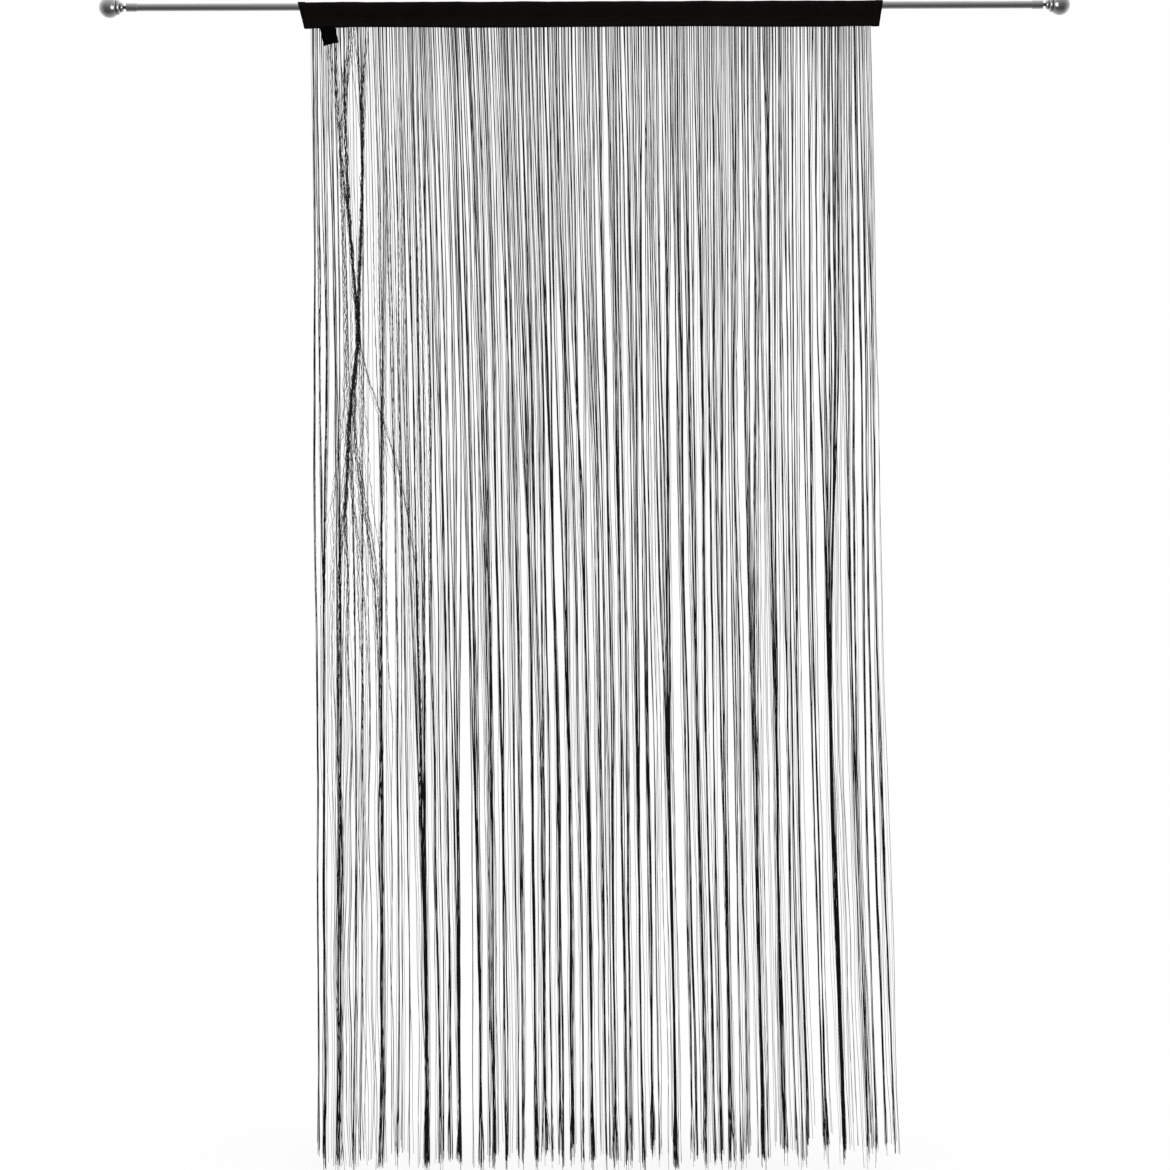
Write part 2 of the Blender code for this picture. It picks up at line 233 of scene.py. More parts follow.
lamp("soft_top", place=(0.3, -2.4, 1.6), aim=(0, 0, -0.9), size=2.2, power=55, only_in_metal=False)
lamp("round_spot", place=(0, -0.95, -0.17), aim=(0, 0, 0), size=0.6, power=5.0, only_in_metal=True)
print("two lamps")

# %% [markdown]
# The floor lies just under the string ends. For the camera it glows nearly white, and a small share of plain
# diffuse colour on top of that still takes the curtain's soft shadow. Away from the curtain the glow rises to full
# white, so that the floor has no far edge. Metal sees the floor dark in front and bright behind, like the world.

# %% Lay the floor
FLOOR_GAP, FLOOR_HALF = 0.022, 4

floor_z = cad_box[0].z - FLOOR_GAP
corners = [(x * FLOOR_HALF, y * FLOOR_HALF, floor_z) for x, y in ((-1, -1), (1, -1), (1, 1), (-1, 1))]
floor_mesh = bpy.data.meshes.new("floor")
floor_mesh.from_pydata(corners, [], [(0, 1, 2, 3)])
floor = bpy.data.objects.new("floor", floor_mesh)
bpy.context.scene.collection.objects.link(floor)
print("floor at", round(floor_z, 4))

# %% Paint the floor
FLOOR_GREY, NEAR_GLOW = (0.30, 0.30, 0.30, 1), 0.75
SHADOW_OVAL, WHITE_FROM, WHITE_BY = (0.75, 1.5, 0.0), 0.35, 1.1
MIRRORED_FRONT, MIRRORED_BEHIND = 0.09, 0.75

paint = bpy.data.materials.new("pale_floor")
paint.use_nodes = True
tree = paint.node_tree
tree.nodes.clear()
at = node(tree, "ShaderNodeTexCoord").outputs["Object"]
rays = node(tree, "ShaderNodeLightPath").outputs
away = vector_maths(tree, "LENGTH", {0: vector_maths(tree, "MULTIPLY", {0: at, 1: SHADOW_OVAL})})
matt = node(tree, "ShaderNodeBsdfDiffuse", {"Color": FLOOR_GREY})
glow = node(tree, "ShaderNodeEmission", {"Strength": NEAR_GLOW})
near = node(tree, "ShaderNodeAddShader", {0: matt.outputs[0], 1: glow.outputs[0]})
full = node(tree, "ShaderNodeEmission", {"Strength": 1.0})
far_share = spread(tree, away, WHITE_FROM, WHITE_BY, 0.0, 1.0)
white = node(tree, "ShaderNodeMixShader", {0: far_share, 1: near.outputs[0], 2: full.outputs[0]})
depth = node(tree, "ShaderNodeSeparateXYZ", {0: at}).outputs["Y"]
mirrored = spread(tree, depth, -1.0, 2.4, MIRRORED_FRONT, MIRRORED_BEHIND)
room = node(tree, "ShaderNodeEmission", {"Strength": mirrored})
seen = maths(tree, "MAXIMUM", rays["Is Camera Ray"], rays["Is Transmission Ray"])
plain_or_white = node(tree, "ShaderNodeMixShader", {0: seen, 1: matt.outputs[0], 2: white.outputs[0]})
shown = {0: rays["Is Glossy Ray"], 1: plain_or_white.outputs[0], 2: room.outputs[0]}
node(tree, "ShaderNodeOutputMaterial", {"Surface": node(tree, "ShaderNodeMixShader", shown).outputs[0]})
floor_mesh.materials.append(paint)
print("floor painted")

# %% [markdown]
# ## Shared surface effects
# Three effects are used by more than one finish, so each is a node group with named inputs. `fine_grain` is noise
# stretched along one direction: brushed lines on metal, slubs on thread. `woven` raises crossing threads from a
# piece's own UV map, measured in metres, so the threads keep their size. `handled` gives slow, soft patches.

# %% Build the fine grain group
tree, given, sink = group(
    "fine_grain",
    "ShaderNodeTree",
    [("Place", "NodeSocketVector", None), ("Lines Per Metre", "NodeSocketVector", (20.0, 2000.0, 2000.0))],
    [("Tone", "NodeSocketFloat"), ("Height", "NodeSocketFloat")],
)
stretched = vector_maths(tree, "MULTIPLY", {0: given["Place"], 1: given["Lines Per Metre"]})
broad = node(tree, "ShaderNodeTexNoise", {"Vector": stretched, "Scale": 0.35, "Detail": 2.0})
fine = node(tree, "ShaderNodeTexNoise", {"Vector": stretched, "Scale": 1.0, "Detail": 3.0, "Roughness": 0.6})
close(tree, sink, {"Tone": broad.outputs["Fac"], "Height": fine.outputs["Fac"]})
fine_grain = tree
print("group", fine_grain.name)

# %% Build the woven group
tree, given, sink = group(
    "woven",
    "ShaderNodeTree",
    [("Cloth", "NodeSocketVector", None), ("Threads Per Metre", "NodeSocketFloat", 1800.0)],
    [("Height", "NodeSocketFloat"), ("Tone", "NodeSocketFloat")],
)
threads = vector_maths(tree, "SCALE", {0: given["Cloth"], "Scale": given["Threads Per Metre"]})
split = node(tree, "ShaderNodeSeparateXYZ", {0: threads})
warp = maths(tree, "SINE", maths(tree, "MULTIPLY", split.outputs["X"], math.pi))
weft = maths(tree, "SINE", maths(tree, "MULTIPLY", split.outputs["Y"], math.pi))
over = spread(tree, maths(tree, "MULTIPLY", warp, weft), -0.3, 0.3, 0.0, 1.0)
on_top = maths(tree, "MULTIPLY", maths(tree, "ABSOLUTE", warp), over)
below = maths(tree, "MULTIPLY", maths(tree, "ABSOLUTE", weft), maths(tree, "SUBTRACT", 1.0, over))
slub = node(tree, "ShaderNodeTexNoise", {"Vector": threads, "Scale": 0.08, "Detail": 3.0})
close(tree, sink, {"Height": maths(tree, "ADD", on_top, below), "Tone": slub.outputs["Fac"]})
woven = tree
print("group", woven.name)

# %% Build the handled group
tree, given, sink = group(
    "handled",
    "ShaderNodeTree",
    [("Place", "NodeSocketVector", None), ("Patches Per Metre", "NodeSocketFloat", 30.0)],
    [("Mask", "NodeSocketFloat")],
)
patches = {"Vector": given["Place"], "Scale": given["Patches Per Metre"], "Detail": 4.0, "Roughness": 0.55}
cloud = node(tree, "ShaderNodeTexNoise", patches).outputs["Fac"]
close(tree, sink, {"Mask": spread(tree, cloud, 0.3, 0.7, 0.0, 1.0)})
handled = tree
print("group", handled.name)


# %% Define the material starter
def finish(name, roughness=0.5, metallic=0.0, **extra):
    """Starts a material. Each extra value goes on the shader's own socket of that name."""
    material = bpy.data.materials.new(name)
    material.use_nodes = True
    tree = material.node_tree
    shader = tree.nodes["Principled BSDF"]
    shader.inputs["Roughness"].default_value = roughness
    shader.inputs["Metallic"].default_value = metallic
    for label, value in extra.items():
        shader.inputs[label.replace("_", " ")].default_value = value
    return material, tree, shader, node(tree, "ShaderNodeTexCoord").outputs


def placed(tree, shared, inputs):
    """Places a shared effect in a material, with values of its own."""
    return node(tree, "ShaderNodeGroup", inputs, node_tree=shared).outputs


def raise_surface(tree, shader, height, distance, strength):
    bump = node(tree, "ShaderNodeBump", {"Height": height, "Distance": distance, "Strength": strength})
    tree.links.new(bump.outputs["Normal"], shader.inputs["Normal"])


print("material helpers ready")

# %% [markdown]
# ## Metal finishes
# The rod and finials are satin nickel plate. A drawn tube carries fine lines along its length, and a turned piece
# carries them around its axis: the same grain group, stretched another way. The lines change the colour and the
# roughness a little and lift the surface a few microns. Soft patches stand for handling.


# %% Make the nickel finishes
def nickel(name, lines, colours, roughness):
    """A plated metal. The colours run from dark to bright, and the roughness from smooth to rough."""
    material, tree, shader, at = finish(name, metallic=1.0)
    grain = placed(tree, fine_grain, {"Place": at["Object"], "Lines Per Metre": lines})
    patch = placed(tree, handled, {"Place": at["Object"], "Patches Per Metre": 45.0})
    grain_part, patch_part = maths(tree, "MULTIPLY", grain["Tone"], 0.65), maths(tree, "MULTIPLY", patch["Mask"], 0.35)
    tone = maths(tree, "ADD", grain_part, patch_part)
    tree.links.new(blend_colour(tree, tone, *colours), shader.inputs["Base Color"])
    tree.links.new(spread(tree, tone, 0.2, 0.8, roughness[1], roughness[0]), shader.inputs["Roughness"])
    raise_surface(tree, shader, grain["Height"], distance=0.000012, strength=0.6)
    return material


PLATE = ((0.50, 0.50, 0.51), (0.66, 0.66, 0.67))
STEEL = ((0.14, 0.14, 0.15), (0.24, 0.24, 0.25))
# These dark colours and the finish made from them further down are painted shade for the bottoms of the collars'
# grooves.
GROOVE_SHADE = ((0.10, 0.10, 0.10), (0.20, 0.20, 0.20))
drawn_nickel = nickel("satin_nickel_drawn", lines=(14.0, 2600.0, 2600.0), colours=PLATE, roughness=(0.24, 0.36))
turned_nickel = nickel("satin_nickel_turned", lines=(3600.0, 90.0, 90.0), colours=PLATE, roughness=(0.22, 0.34))
dark_steel = nickel("plain_thread_steel", lines=(2000.0, 200.0, 200.0), colours=STEEL, roughness=(0.34, 0.5))
painted_groove_shade = nickel("dull_groove_metal", lines=(2600.0, 90.0, 90.0), colours=GROOVE_SHADE, roughness=(0.42, 0.6))
print("four metals")

# %% [markdown]
# ## Turned pieces
# Tube, caps, collars and balls are bodies of revolution: one closed outline turned about the rod's axis. The
# outline's corners are rounded first, because a real edge always catches a thin line of light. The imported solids
# use 24 sides, and these use 96, so that no facet shows. Blender's Spin could turn the outline too, but writing the
# rings directly keeps the poles closed and the faces all pointing out.

# %% Define the outline tools
TURNED_SIDES, CORNER_STEPS = 96, 3
ON_AXIS, TOO_SHORT, SHALLOW = 1e-6, 1e-9, math.radians(155)
ENDS = (("left", -1), ("right", 1))


def arc(centre, radius, start, end, steps):
    angles = [start + (end - start) * step / steps for step in range(steps + 1)]
    return [(centre[0] + radius * math.cos(a), centre[1] + radius * math.sin(a)) for a in angles]


def softened(outline, radius):
    """Rounds each sharp corner of a closed outline, and leaves the ones on the axis and the shallow ones."""
    points = [Vector(p) for p in outline]
    out = []
    for n, corner in enumerate(points):
        before, after = points[n - 1] - corner, points[(n + 1) % len(points)] - corner
        turn = before.angle(after) if before.length > TOO_SHORT and after.length > TOO_SHORT else math.pi
        if corner.y < ON_AXIS or turn > SHALLOW:
            out.append(tuple(corner))
            continue
        cut = min(radius, 0.45 * before.length, 0.45 * after.length)
        first, last = corner + before.normalized() * cut, corner + after.normalized() * cut
        for step in range(CORNER_STEPS + 1):
            t = step / CORNER_STEPS
            out.append(tuple(first * (1 - t) ** 2 + corner * 2 * t * (1 - t) + last * t * t))
    return out


def bridge(shape, ring, following):
    """Closes the gap between two rings of points with faces. A ring of one point is a pole."""
    sides = max(len(ring), len(following))
    for side in range(sides if sides > 1 else 0):
        near, far = [(line[side % len(line)], line[(side + 1) % len(line)]) for line in (ring, following)]
        shape.faces.new(list(dict.fromkeys((*near, *reversed(far)))))


print("outline tools ready")


# %% Define how a piece is turned and kept
def turned(outline, origin=0.0, facing=1):
    """Turns an (x, radius) outline about the rod's axis. Facing -1 mirrors it for the left end."""
    shape = bmesh.new()
    rings = []
    for x, radius in outline:
        count = TURNED_SIDES if radius > ON_AXIS else 1
        angles = [2 * math.pi * side / TURNED_SIDES for side in range(count)]
        circle = [(origin + facing * x, radius * math.cos(a), radius * math.sin(a)) for a in angles]
        rings.append([shape.verts.new(point) for point in circle])
    for ring, following in zip(rings, rings[1:] + rings[:1]):
        bridge(shape, ring, following)
    return shape


def mesh_object(name, shape, material, body, node_name):
    """One finished piece: its mesh already in place, riding on its body and standing for its solid."""
    bmesh.ops.remove_doubles(shape, verts=shape.verts, dist=1e-7)
    bmesh.ops.recalc_face_normals(shape, faces=shape.faces)
    mesh = bpy.data.meshes.new(name)
    shape.to_mesh(mesh)
    shape.free()
    mesh.shade_smooth()
    mesh.materials.append(material)
    obj = bpy.data.objects.new(name, mesh)
    bpy.context.scene.collection.objects.link(obj)
    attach(obj, body)
    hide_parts(node_name)
    print(name, len(mesh.polygons), "faces")
    return obj


# %% [markdown]
# The tube is open at both ends, with a 1 mm wall. Its ends sit inside the caps.

# %% Turn the tube
TUBE_WALL, TUBE_CORNER = 0.001, 0.0003

tube_half = (rod_high.x - rod_low.x) / 2
left_end = [(-tube_half, rod_radius - TUBE_WALL), (-tube_half, rod_radius)]
outline = left_end + [(-x, radius) for x, radius in reversed(left_end)]
mesh_object("drawn_tube", turned(softened(outline, TUBE_CORNER)), drawn_nickel, "rod", "rod_tube")

# %% [markdown]
# Each cap is a thin sleeve over the tube with a tapped plug inside it. The finial screws into the plug.

# %% Turn the end caps
SEAT_GAP = 0.0003
CAP_WALL, CAP_LENGTH, CAP_END, PLUG_LENGTH = 0.0006, 0.018, 0.003, 0.012
CAP_ROUND, CAP_CORNER = 0.0008, 0.00022
STUD_RADIUS = 0.003

cap_face = tube_half + SEAT_GAP + CAP_END
cap_inside = rod_radius + SEAT_GAP
cap_outside = cap_inside + CAP_WALL
plug = rod_radius - TUBE_WALL - SEAT_GAP
thread = STUD_RADIUS + SEAT_GAP
cap_outline = [(-CAP_END, cap_inside), (-CAP_LENGTH, cap_inside), (-CAP_LENGTH, cap_outside)]
cap_outline += arc((-CAP_ROUND, cap_outside - CAP_ROUND), CAP_ROUND, math.pi / 2, 0, 8)
cap_outline += [(0, thread), (-CAP_END - PLUG_LENGTH, thread), (-CAP_END - PLUG_LENGTH, plug), (-CAP_END, plug)]
for side, facing in ENDS:
    shape = turned(softened(cap_outline, CAP_CORNER), facing * cap_face, facing)
    mesh_object(f"end_cap_{side}", shape, turned_nickel, f"cap_{side}", f"rod_end_cap_{side}")

# %% [markdown]
# The collar has two quarter-round rings with a dark groove between them and another against the ball. The ball is a
# hollow shell that sits on the collar's spigot.

# %% Draw the collar's outline
STUD_SHOWN, STUD_IN_COLLAR, COLLAR_LIP = 0.0042, 0.012, 0.0007
SMALL_ROUND, GROOVE_WIDTH, GROOVE_DEPTH = 0.0046, 0.0012, 0.0024
LARGE_SETBACK, LARGE_ROUND, NECK_WIDTH, NECK_DEPTH = 0.0008, 0.0054, 0.0015, 0.0022
SPIGOT_RADIUS, SPIGOT_LENGTH = 0.009, 0.005

stud_end = STUD_SHOWN + STUD_IN_COLLAR
small_foot = thread + COLLAR_LIP
small_radius = small_foot + SMALL_ROUND
small_end = STUD_SHOWN + SMALL_ROUND
large_start = small_end + GROOVE_WIDTH
large_foot = small_radius - LARGE_SETBACK
large_radius = large_foot + LARGE_ROUND
large_end = large_start + LARGE_ROUND
mouth = large_end + NECK_WIDTH
seat, spigot_end = mouth - SEAT_GAP, mouth + SPIGOT_LENGTH
collar_outline = arc((small_end, small_foot), SMALL_ROUND, math.pi, math.pi / 2, 12)
collar_outline += [(small_end, small_radius - GROOVE_DEPTH), (large_start, small_radius - GROOVE_DEPTH)]
collar_outline += arc((large_end, large_foot), LARGE_ROUND, math.pi, math.pi / 2, 14)
collar_outline += [(large_end, large_radius - NECK_DEPTH), (seat, large_radius - NECK_DEPTH)]
collar_outline += [(seat, SPIGOT_RADIUS), (spigot_end, SPIGOT_RADIUS), (spigot_end, 0)]
collar_outline += [(stud_end + SEAT_GAP, 0), (stud_end + SEAT_GAP, thread), (STUD_SHOWN, thread)]
print("collar", round(1000 * mouth, 1), "mm from the cap's face to the ball")

# %% Draw the ball's outline
BALL_RADIUS, BALL_WALL = 0.018, 0.0015
BALL_MOUTH = 0.76  # the mouth's radius as a share of the ball's

mouth_angle = math.pi - math.asin(BALL_MOUTH)
ball_centre = mouth - BALL_RADIUS * math.cos(mouth_angle)
hollow = BALL_RADIUS - BALL_WALL
hole = SPIGOT_RADIUS + SEAT_GAP
inner_angle = math.acos((mouth + BALL_WALL - ball_centre) / hollow)
ball_outline = [(mouth, hole)] + arc((ball_centre, 0), BALL_RADIUS, mouth_angle, 0, 44)[:-1]
ball_outline += [(ball_centre + BALL_RADIUS, 0), (ball_centre + hollow, 0)]
ball_outline += arc((ball_centre, 0), hollow, 0, inner_angle, 20)[1:] + [(mouth + BALL_WALL, hole)]
print("ball centred", round(1000 * ball_centre, 1), "mm from the cap's face")

# %% [markdown]
# The faces at the bottom of a narrow groove take a second, dark finish: painted shade, for the shade that falls in the
# groove.

# %% Turn the collars and balls
COLLAR_CORNER, BALL_CORNER = 0.0002, 0.00015
SLACK, SHADED_HEIGHT = 0.0001, 0.0016


# Painted shade: the faces deep in the grooves take the dark finish.
def paint_groove_shade(collar, facing):
    collar.data.materials.append(painted_groove_shade)
    for face in collar.data.polygons:
        x = facing * face.center.x - cap_face
        radius = math.hypot(face.center.y, face.center.z)
        low = small_radius - GROOVE_DEPTH if x < large_start + SLACK else large_radius - NECK_DEPTH
        in_groove = small_end - SLACK < x < large_start + SLACK or x > large_end - SLACK
        face.material_index = int(in_groove and radius < low + SHADED_HEIGHT)


for side, facing in ENDS:
    for label, line, corner in (("collar", collar_outline, COLLAR_CORNER), ("ball", ball_outline, BALL_CORNER)):
        shape = turned(softened(line, corner), facing * cap_face, facing)
        name, solid = f"turned_{label}_{side}", f"finial_{label}_{side}"
        piece = mesh_object(name, shape, turned_nickel, f"finial_{side}", solid)
        if label == "collar":
            paint_groove_shade(piece, facing)

# %% [markdown]
# A dark neck shows between cap and collar: the stud that joins them. Its thread is a helix. Each ring of points is
# pulled in by a saw-tooth that moves on with the angle, which draws the groove without any cutting. Both ends of the
# stud are pointed a little, as on any screw.

# %% Cut the studs
STUD_IN_CAP, THREAD_PITCH, THREAD_DEPTH = 0.012, 0.001, 0.00045
STUD_SIDES, STEPS_PER_TURN = 32, 8
POINT_LENGTH, POINT_DEPTH = 0.0008, 0.0005


def threaded_stud(facing):
    length = STUD_IN_CAP + stud_end
    count = round(length / (THREAD_PITCH / STEPS_PER_TURN))
    shape = bmesh.new()
    rings = []
    for n in range(count + 1):
        x = -STUD_IN_CAP + length * n / count
        taper = min(1.0, (x + STUD_IN_CAP) / POINT_LENGTH, (stud_end - x) / POINT_LENGTH)
        ring = []
        for side in range(STUD_SIDES):
            turn = side / STUD_SIDES
            phase = (x / THREAD_PITCH - facing * turn) % 1.0
            cut = THREAD_DEPTH * (1 - abs(2 * phase - 1))
            radius = STUD_RADIUS - cut - POINT_DEPTH * (1 - max(taper, 0.0))
            angle = 2 * math.pi * turn
            point = (facing * (cap_face + x), radius * math.cos(angle), radius * math.sin(angle))
            ring.append(shape.verts.new(point))
        rings.append(ring)
    for ring, following in zip(rings, rings[1:]):
        bridge(shape, ring, following)
    for end in (rings[0], rings[-1]):
        centre = shape.verts.new(sum((v.co for v in end), Vector()) / STUD_SIDES)
        bridge(shape, end, [centre])
    return shape


for side, facing in ENDS:
    name, solid = f"threaded_stud_{side}", f"finial_stud_{side}"
    mesh_object(name, threaded_stud(facing), dark_steel, f"finial_{side}", solid)

# %% [markdown]
# ## Cloth finishes
# The sleeve is matt black woven cloth, slightly warm, with a faint sheen where it turns away along its top edge.
# The weave comes from the piece's own UV map in metres. The knitted tape is the same black, in coarser threads.


# %% Make the cloth finishes
def cloth(name, dark, light, threads, lift, sheen):
    soft = {"Sheen_Weight": sheen, "Sheen_Roughness": 0.45, "Specular_IOR_Level": 0.04}
    material, tree, shader, at = finish(name, roughness=0.88, **soft)
    weave = placed(tree, woven, {"Cloth": at["UV"], "Threads Per Metre": threads})
    patch = placed(tree, handled, {"Place": at["Object"], "Patches Per Metre": 24.0})
    weave_part, patch_part = maths(tree, "MULTIPLY", weave["Tone"], 0.5), maths(tree, "MULTIPLY", patch["Mask"], 0.5)
    tone = maths(tree, "ADD", weave_part, patch_part)
    tree.links.new(blend_colour(tree, tone, dark, light), shader.inputs["Base Color"])
    raise_surface(tree, shader, weave["Height"], distance=lift, strength=0.8)
    return material


header_cloth = cloth(
    "black_woven_cloth",
    dark=(0.0026, 0.0018, 0.0016),
    light=(0.0056, 0.0040, 0.0036),
    threads=1700.0,
    lift=0.00012,
    sheen=0.02,
)
tape_knit = cloth(
    "black_knitted_tape",
    dark=(0.0030, 0.0028, 0.0028),
    light=(0.0070, 0.0066, 0.0066),
    threads=1200.0,
    lift=0.00016,
    sheen=0.05,
)
print("two cloths")

# %% [markdown]
# The strings are a black twisted yarn that looks slightly violet against the warm cloth. The sewing thread is the
# sleeve's own black, with a finer twist.


# %% Make the thread finishes
def thread_finish(name, dark, light, twist, sheen, roughness):
    """Twisted thread: slanting ridges, and a slow change of tone from one length to the next."""
    soft = {"Sheen_Weight": sheen, "Sheen_Roughness": 0.4, "Specular_IOR_Level": 0.25}
    material, tree, shader, at = finish(name, roughness, **soft)
    grain = placed(tree, fine_grain, {"Place": at["Object"], "Lines Per Metre": (900.0, 900.0, 9.0)})
    split = node(tree, "ShaderNodeSeparateXYZ", {0: at["Object"]}).outputs
    slant = maths(tree, "ADD", maths(tree, "ADD", split["X"], split["Y"]), split["Z"])
    ridge = maths(tree, "SINE", maths(tree, "MULTIPLY", slant, 2 * math.pi / twist))
    tree.links.new(blend_colour(tree, grain["Tone"], dark, light), shader.inputs["Base Color"])
    raise_surface(tree, shader, ridge, distance=0.00006, strength=0.7)
    return material


yarn = thread_finish(
    "black_twisted_yarn",
    dark=(0.0048, 0.0042, 0.0070),
    light=(0.0114, 0.0103, 0.0160),
    twist=0.0009,
    sheen=0.05,
    roughness=0.62,
)
sewing_thread = thread_finish(
    "black_sewing_thread",
    dark=(0.0036, 0.0030, 0.0029),
    light=(0.0085, 0.0074, 0.0072),
    twist=0.0005,
    sheen=0.06,
    roughness=0.55,
)
print("two threads")

# %% [markdown]
# ## The header sleeve
# One band of cloth is folded over the rod and its two edges are sewn together below it, which makes the rod pocket.
# Below the seam the two layers lie flat against the strings' tape. The ends are turned in and stitched, so the
# cloth is double there. A cloth simulation could drape it, but the fold is held by the rod and the seam, so its
# section is known: a hairpin. The section is swept along the rod, and waves are added where real cloth has them:
# slack in the pocket's belly, small puckers along the seam and a gently uneven hem.

# %% Define the wave tools
FADE = 0.7  # how much lower each finer wave is than the one before it


def waves(seed, where, longest, shortest, count):
    """A smooth uneven line about 1 high: a few sines whose lengths run from longest to shortest."""
    chance = np.random.default_rng(seed)
    total = np.zeros_like(where, dtype=float)
    for n in range(count):
        length = longest * (shortest / longest) ** (n / max(count - 1, 1)) * chance.uniform(0.85, 1.2)
        total += FADE ** n * np.sin(2 * np.pi * (where / length + chance.random()))
    return total / sum(FADE ** n for n in range(count)) * 1.6


def ease(value):
    """A smooth step from 0 to 1."""
    value = np.clip(value, 0, 1)
    return value * value * (3 - 2 * value)


def smooth_line(where, at, values):
    """Values joined with an eased step between each pair."""
    place = np.clip(np.searchsorted(at, where) - 1, 0, len(at) - 2)
    part = ease((where - at[place]) / (at[place + 1] - at[place]))
    return values[place] + (values[place + 1] - values[place]) * part


print("wave tools ready")

# %% Define half of the fold
CLOTH = 0.0009
FOLD_RADIUS = rod_radius + SEAT_GAP
LOWER_STEPS, BELLY_STEPS, OVER_STEPS = 10, 10, 12


def half_fold(radius, seam_y, bottom):
    """The room side of the fold as (y, z) points, from the hem up to the top of the rod."""
    reach = math.hypot(seam_y, seam_z)
    leaves = math.atan2(seam_z, -seam_y) % (2 * math.pi) - math.acos(radius / reach)
    touch = np.array([radius * math.cos(leaves), radius * math.sin(leaves)])
    hem, seam = np.array([-seam_y, bottom]), np.array([-seam_y, seam_z])
    line = [hem + (seam - hem) * n / LOWER_STEPS for n in range(LOWER_STEPS)]
    line += [seam + (touch - seam) * n / BELLY_STEPS for n in range(BELLY_STEPS)]
    line += [np.array(p) for p in arc((0, 0), radius, leaves, math.pi / 2, OVER_STEPS)]
    line = np.array(line)
    near = slice(LOWER_STEPS - 1, LOWER_STEPS + 2)
    for _ in range(2):
        line[near] = (line[LOWER_STEPS - 2:LOWER_STEPS + 1] + 2 * line[near] + line[LOWER_STEPS:LOWER_STEPS + 3]) / 4
    return line


print("the fold has", LOWER_STEPS + BELLY_STEPS + OVER_STEPS + 1, "points on each side")

# %% [markdown]
# The hem's lower edge is not straight in the picture: it hangs lowest at its left corner and right of the middle,
# and is drawn up a little beside the label. Those heights are read off the picture and joined by a smooth line. The
# hem hides the strings' cord edge, so below the tape its two lips open around that cord, and wider over the label.
# The room-side lip is also cut short over the label, so that the label can flap up under it.

# %% Set the sleeve's numbers
STATIONS, END_STEP = 480, 0.0006
ROLLED_END = (76, 50, 25, 0)  # degrees round the folded end's edge
SIDE_HEM, HEM_STEP, SEAM_HALF = 0.012, 0.0012, 0.0007
HEM_AT = np.array([-0.50, -0.465, -0.428, -0.41, -0.30, -0.20, -0.13, 0.00, 0.12, 0.20, 0.33, 0.42, 0.48, 0.51])
HEM_MM = [-36.6, -36.2, -35.2, -34.3, -34.8, -36.0, -35.9, -35.3, -34.8, -34.7, -36.1, -36.2, -35.2, -35.3]
HEM_Z = np.array(HEM_MM) / 1000
LIP_FROM, LIP_OPEN, LIP_EASE = -0.0321, 0.00095, 0.0016
LABEL_WIDTH, LABEL_LEFT, LABEL_OPEN, LABEL_HEM = 0.0262, -0.4543, 0.0011, -0.0347

sleeve_left, sleeve_right = sleeve_low.x, sleeve_high.x
sleeve_width = sleeve_right - sleeve_left
sleeve_top = FOLD_RADIUS + CLOTH
print("sleeve", round(sleeve_width, 3), "m wide")


# %% Sweep the sleeve
def over_label(where, left, right, blend):
    """1 over the label and so far to its left and right, and 0 further off."""
    return ease((where - LABEL_LEFT + left) / blend) * ease((LABEL_LEFT + LABEL_WIDTH + right - where) / blend)


roll = [math.radians(a) for a in ROLLED_END]
margin = [CLOTH * (1 - math.sin(a)) for a in roll]
inner_x = np.linspace(margin[-1] + END_STEP, sleeve_width - margin[-1] - END_STEP, STATIONS)
along = np.concatenate([margin, inner_x, [sleeve_width - m for m in margin[::-1]]])
fullness = np.concatenate([[math.cos(a) for a in roll], np.ones(STATIONS), [math.cos(a) for a in roll[::-1]]])
where = sleeve_left + along
from_end = np.minimum(along, sleeve_width - along)
layers = 1 + ease((SIDE_HEM + HEM_STEP - from_end) / HEM_STEP)
hem_line = smooth_line(where, HEM_AT, HEM_Z)
room_hem = hem_line + np.maximum(LABEL_HEM - hem_line, 0) * over_label(where, 0.004, 0.005, 0.003)

half_count = LOWER_STEPS + BELLY_STEPS + OVER_STEPS + 1
ring_count = 2 * half_count - 1
inner = np.zeros((len(where), ring_count, 2))
outer = np.zeros_like(inner)
for n, cover in enumerate(layers * CLOTH):
    for target, radius, seam_y in ((inner, FOLD_RADIUS, SEAM_HALF), (outer, FOLD_RADIUS + cover, SEAM_HALF + cover)):
        room, back = half_fold(radius, seam_y, room_hem[n]), half_fold(radius, seam_y, hem_line[n])
        target[n] = np.concatenate([room, back[-2::-1] * [-1, 1]])
open_wider = over_label(where, 0.006, 0.006, 0.006)
for line in (inner, outer):
    open_by = ease((LIP_FROM - line[..., 1]) / LIP_EASE)
    in_front = (line[..., 0] < 0) * open_wider[:, None]
    line[..., 0] += np.sign(line[..., 0]) * open_by * (LIP_OPEN + LABEL_OPEN * in_front)
print("sleeve section of", ring_count, "points at", len(where), "stations")

# %% [markdown]
# The waves push the cloth outwards only, so it never enters the rod or the tape. They fade towards the stitched ends.

# %% Add the waves to the sleeve
BELLY_PUSH, PUCKER_PUSH, RIPPLE_PUSH, CROWN_PUSH = 0.0010, 0.00035, 0.00045, 0.00035

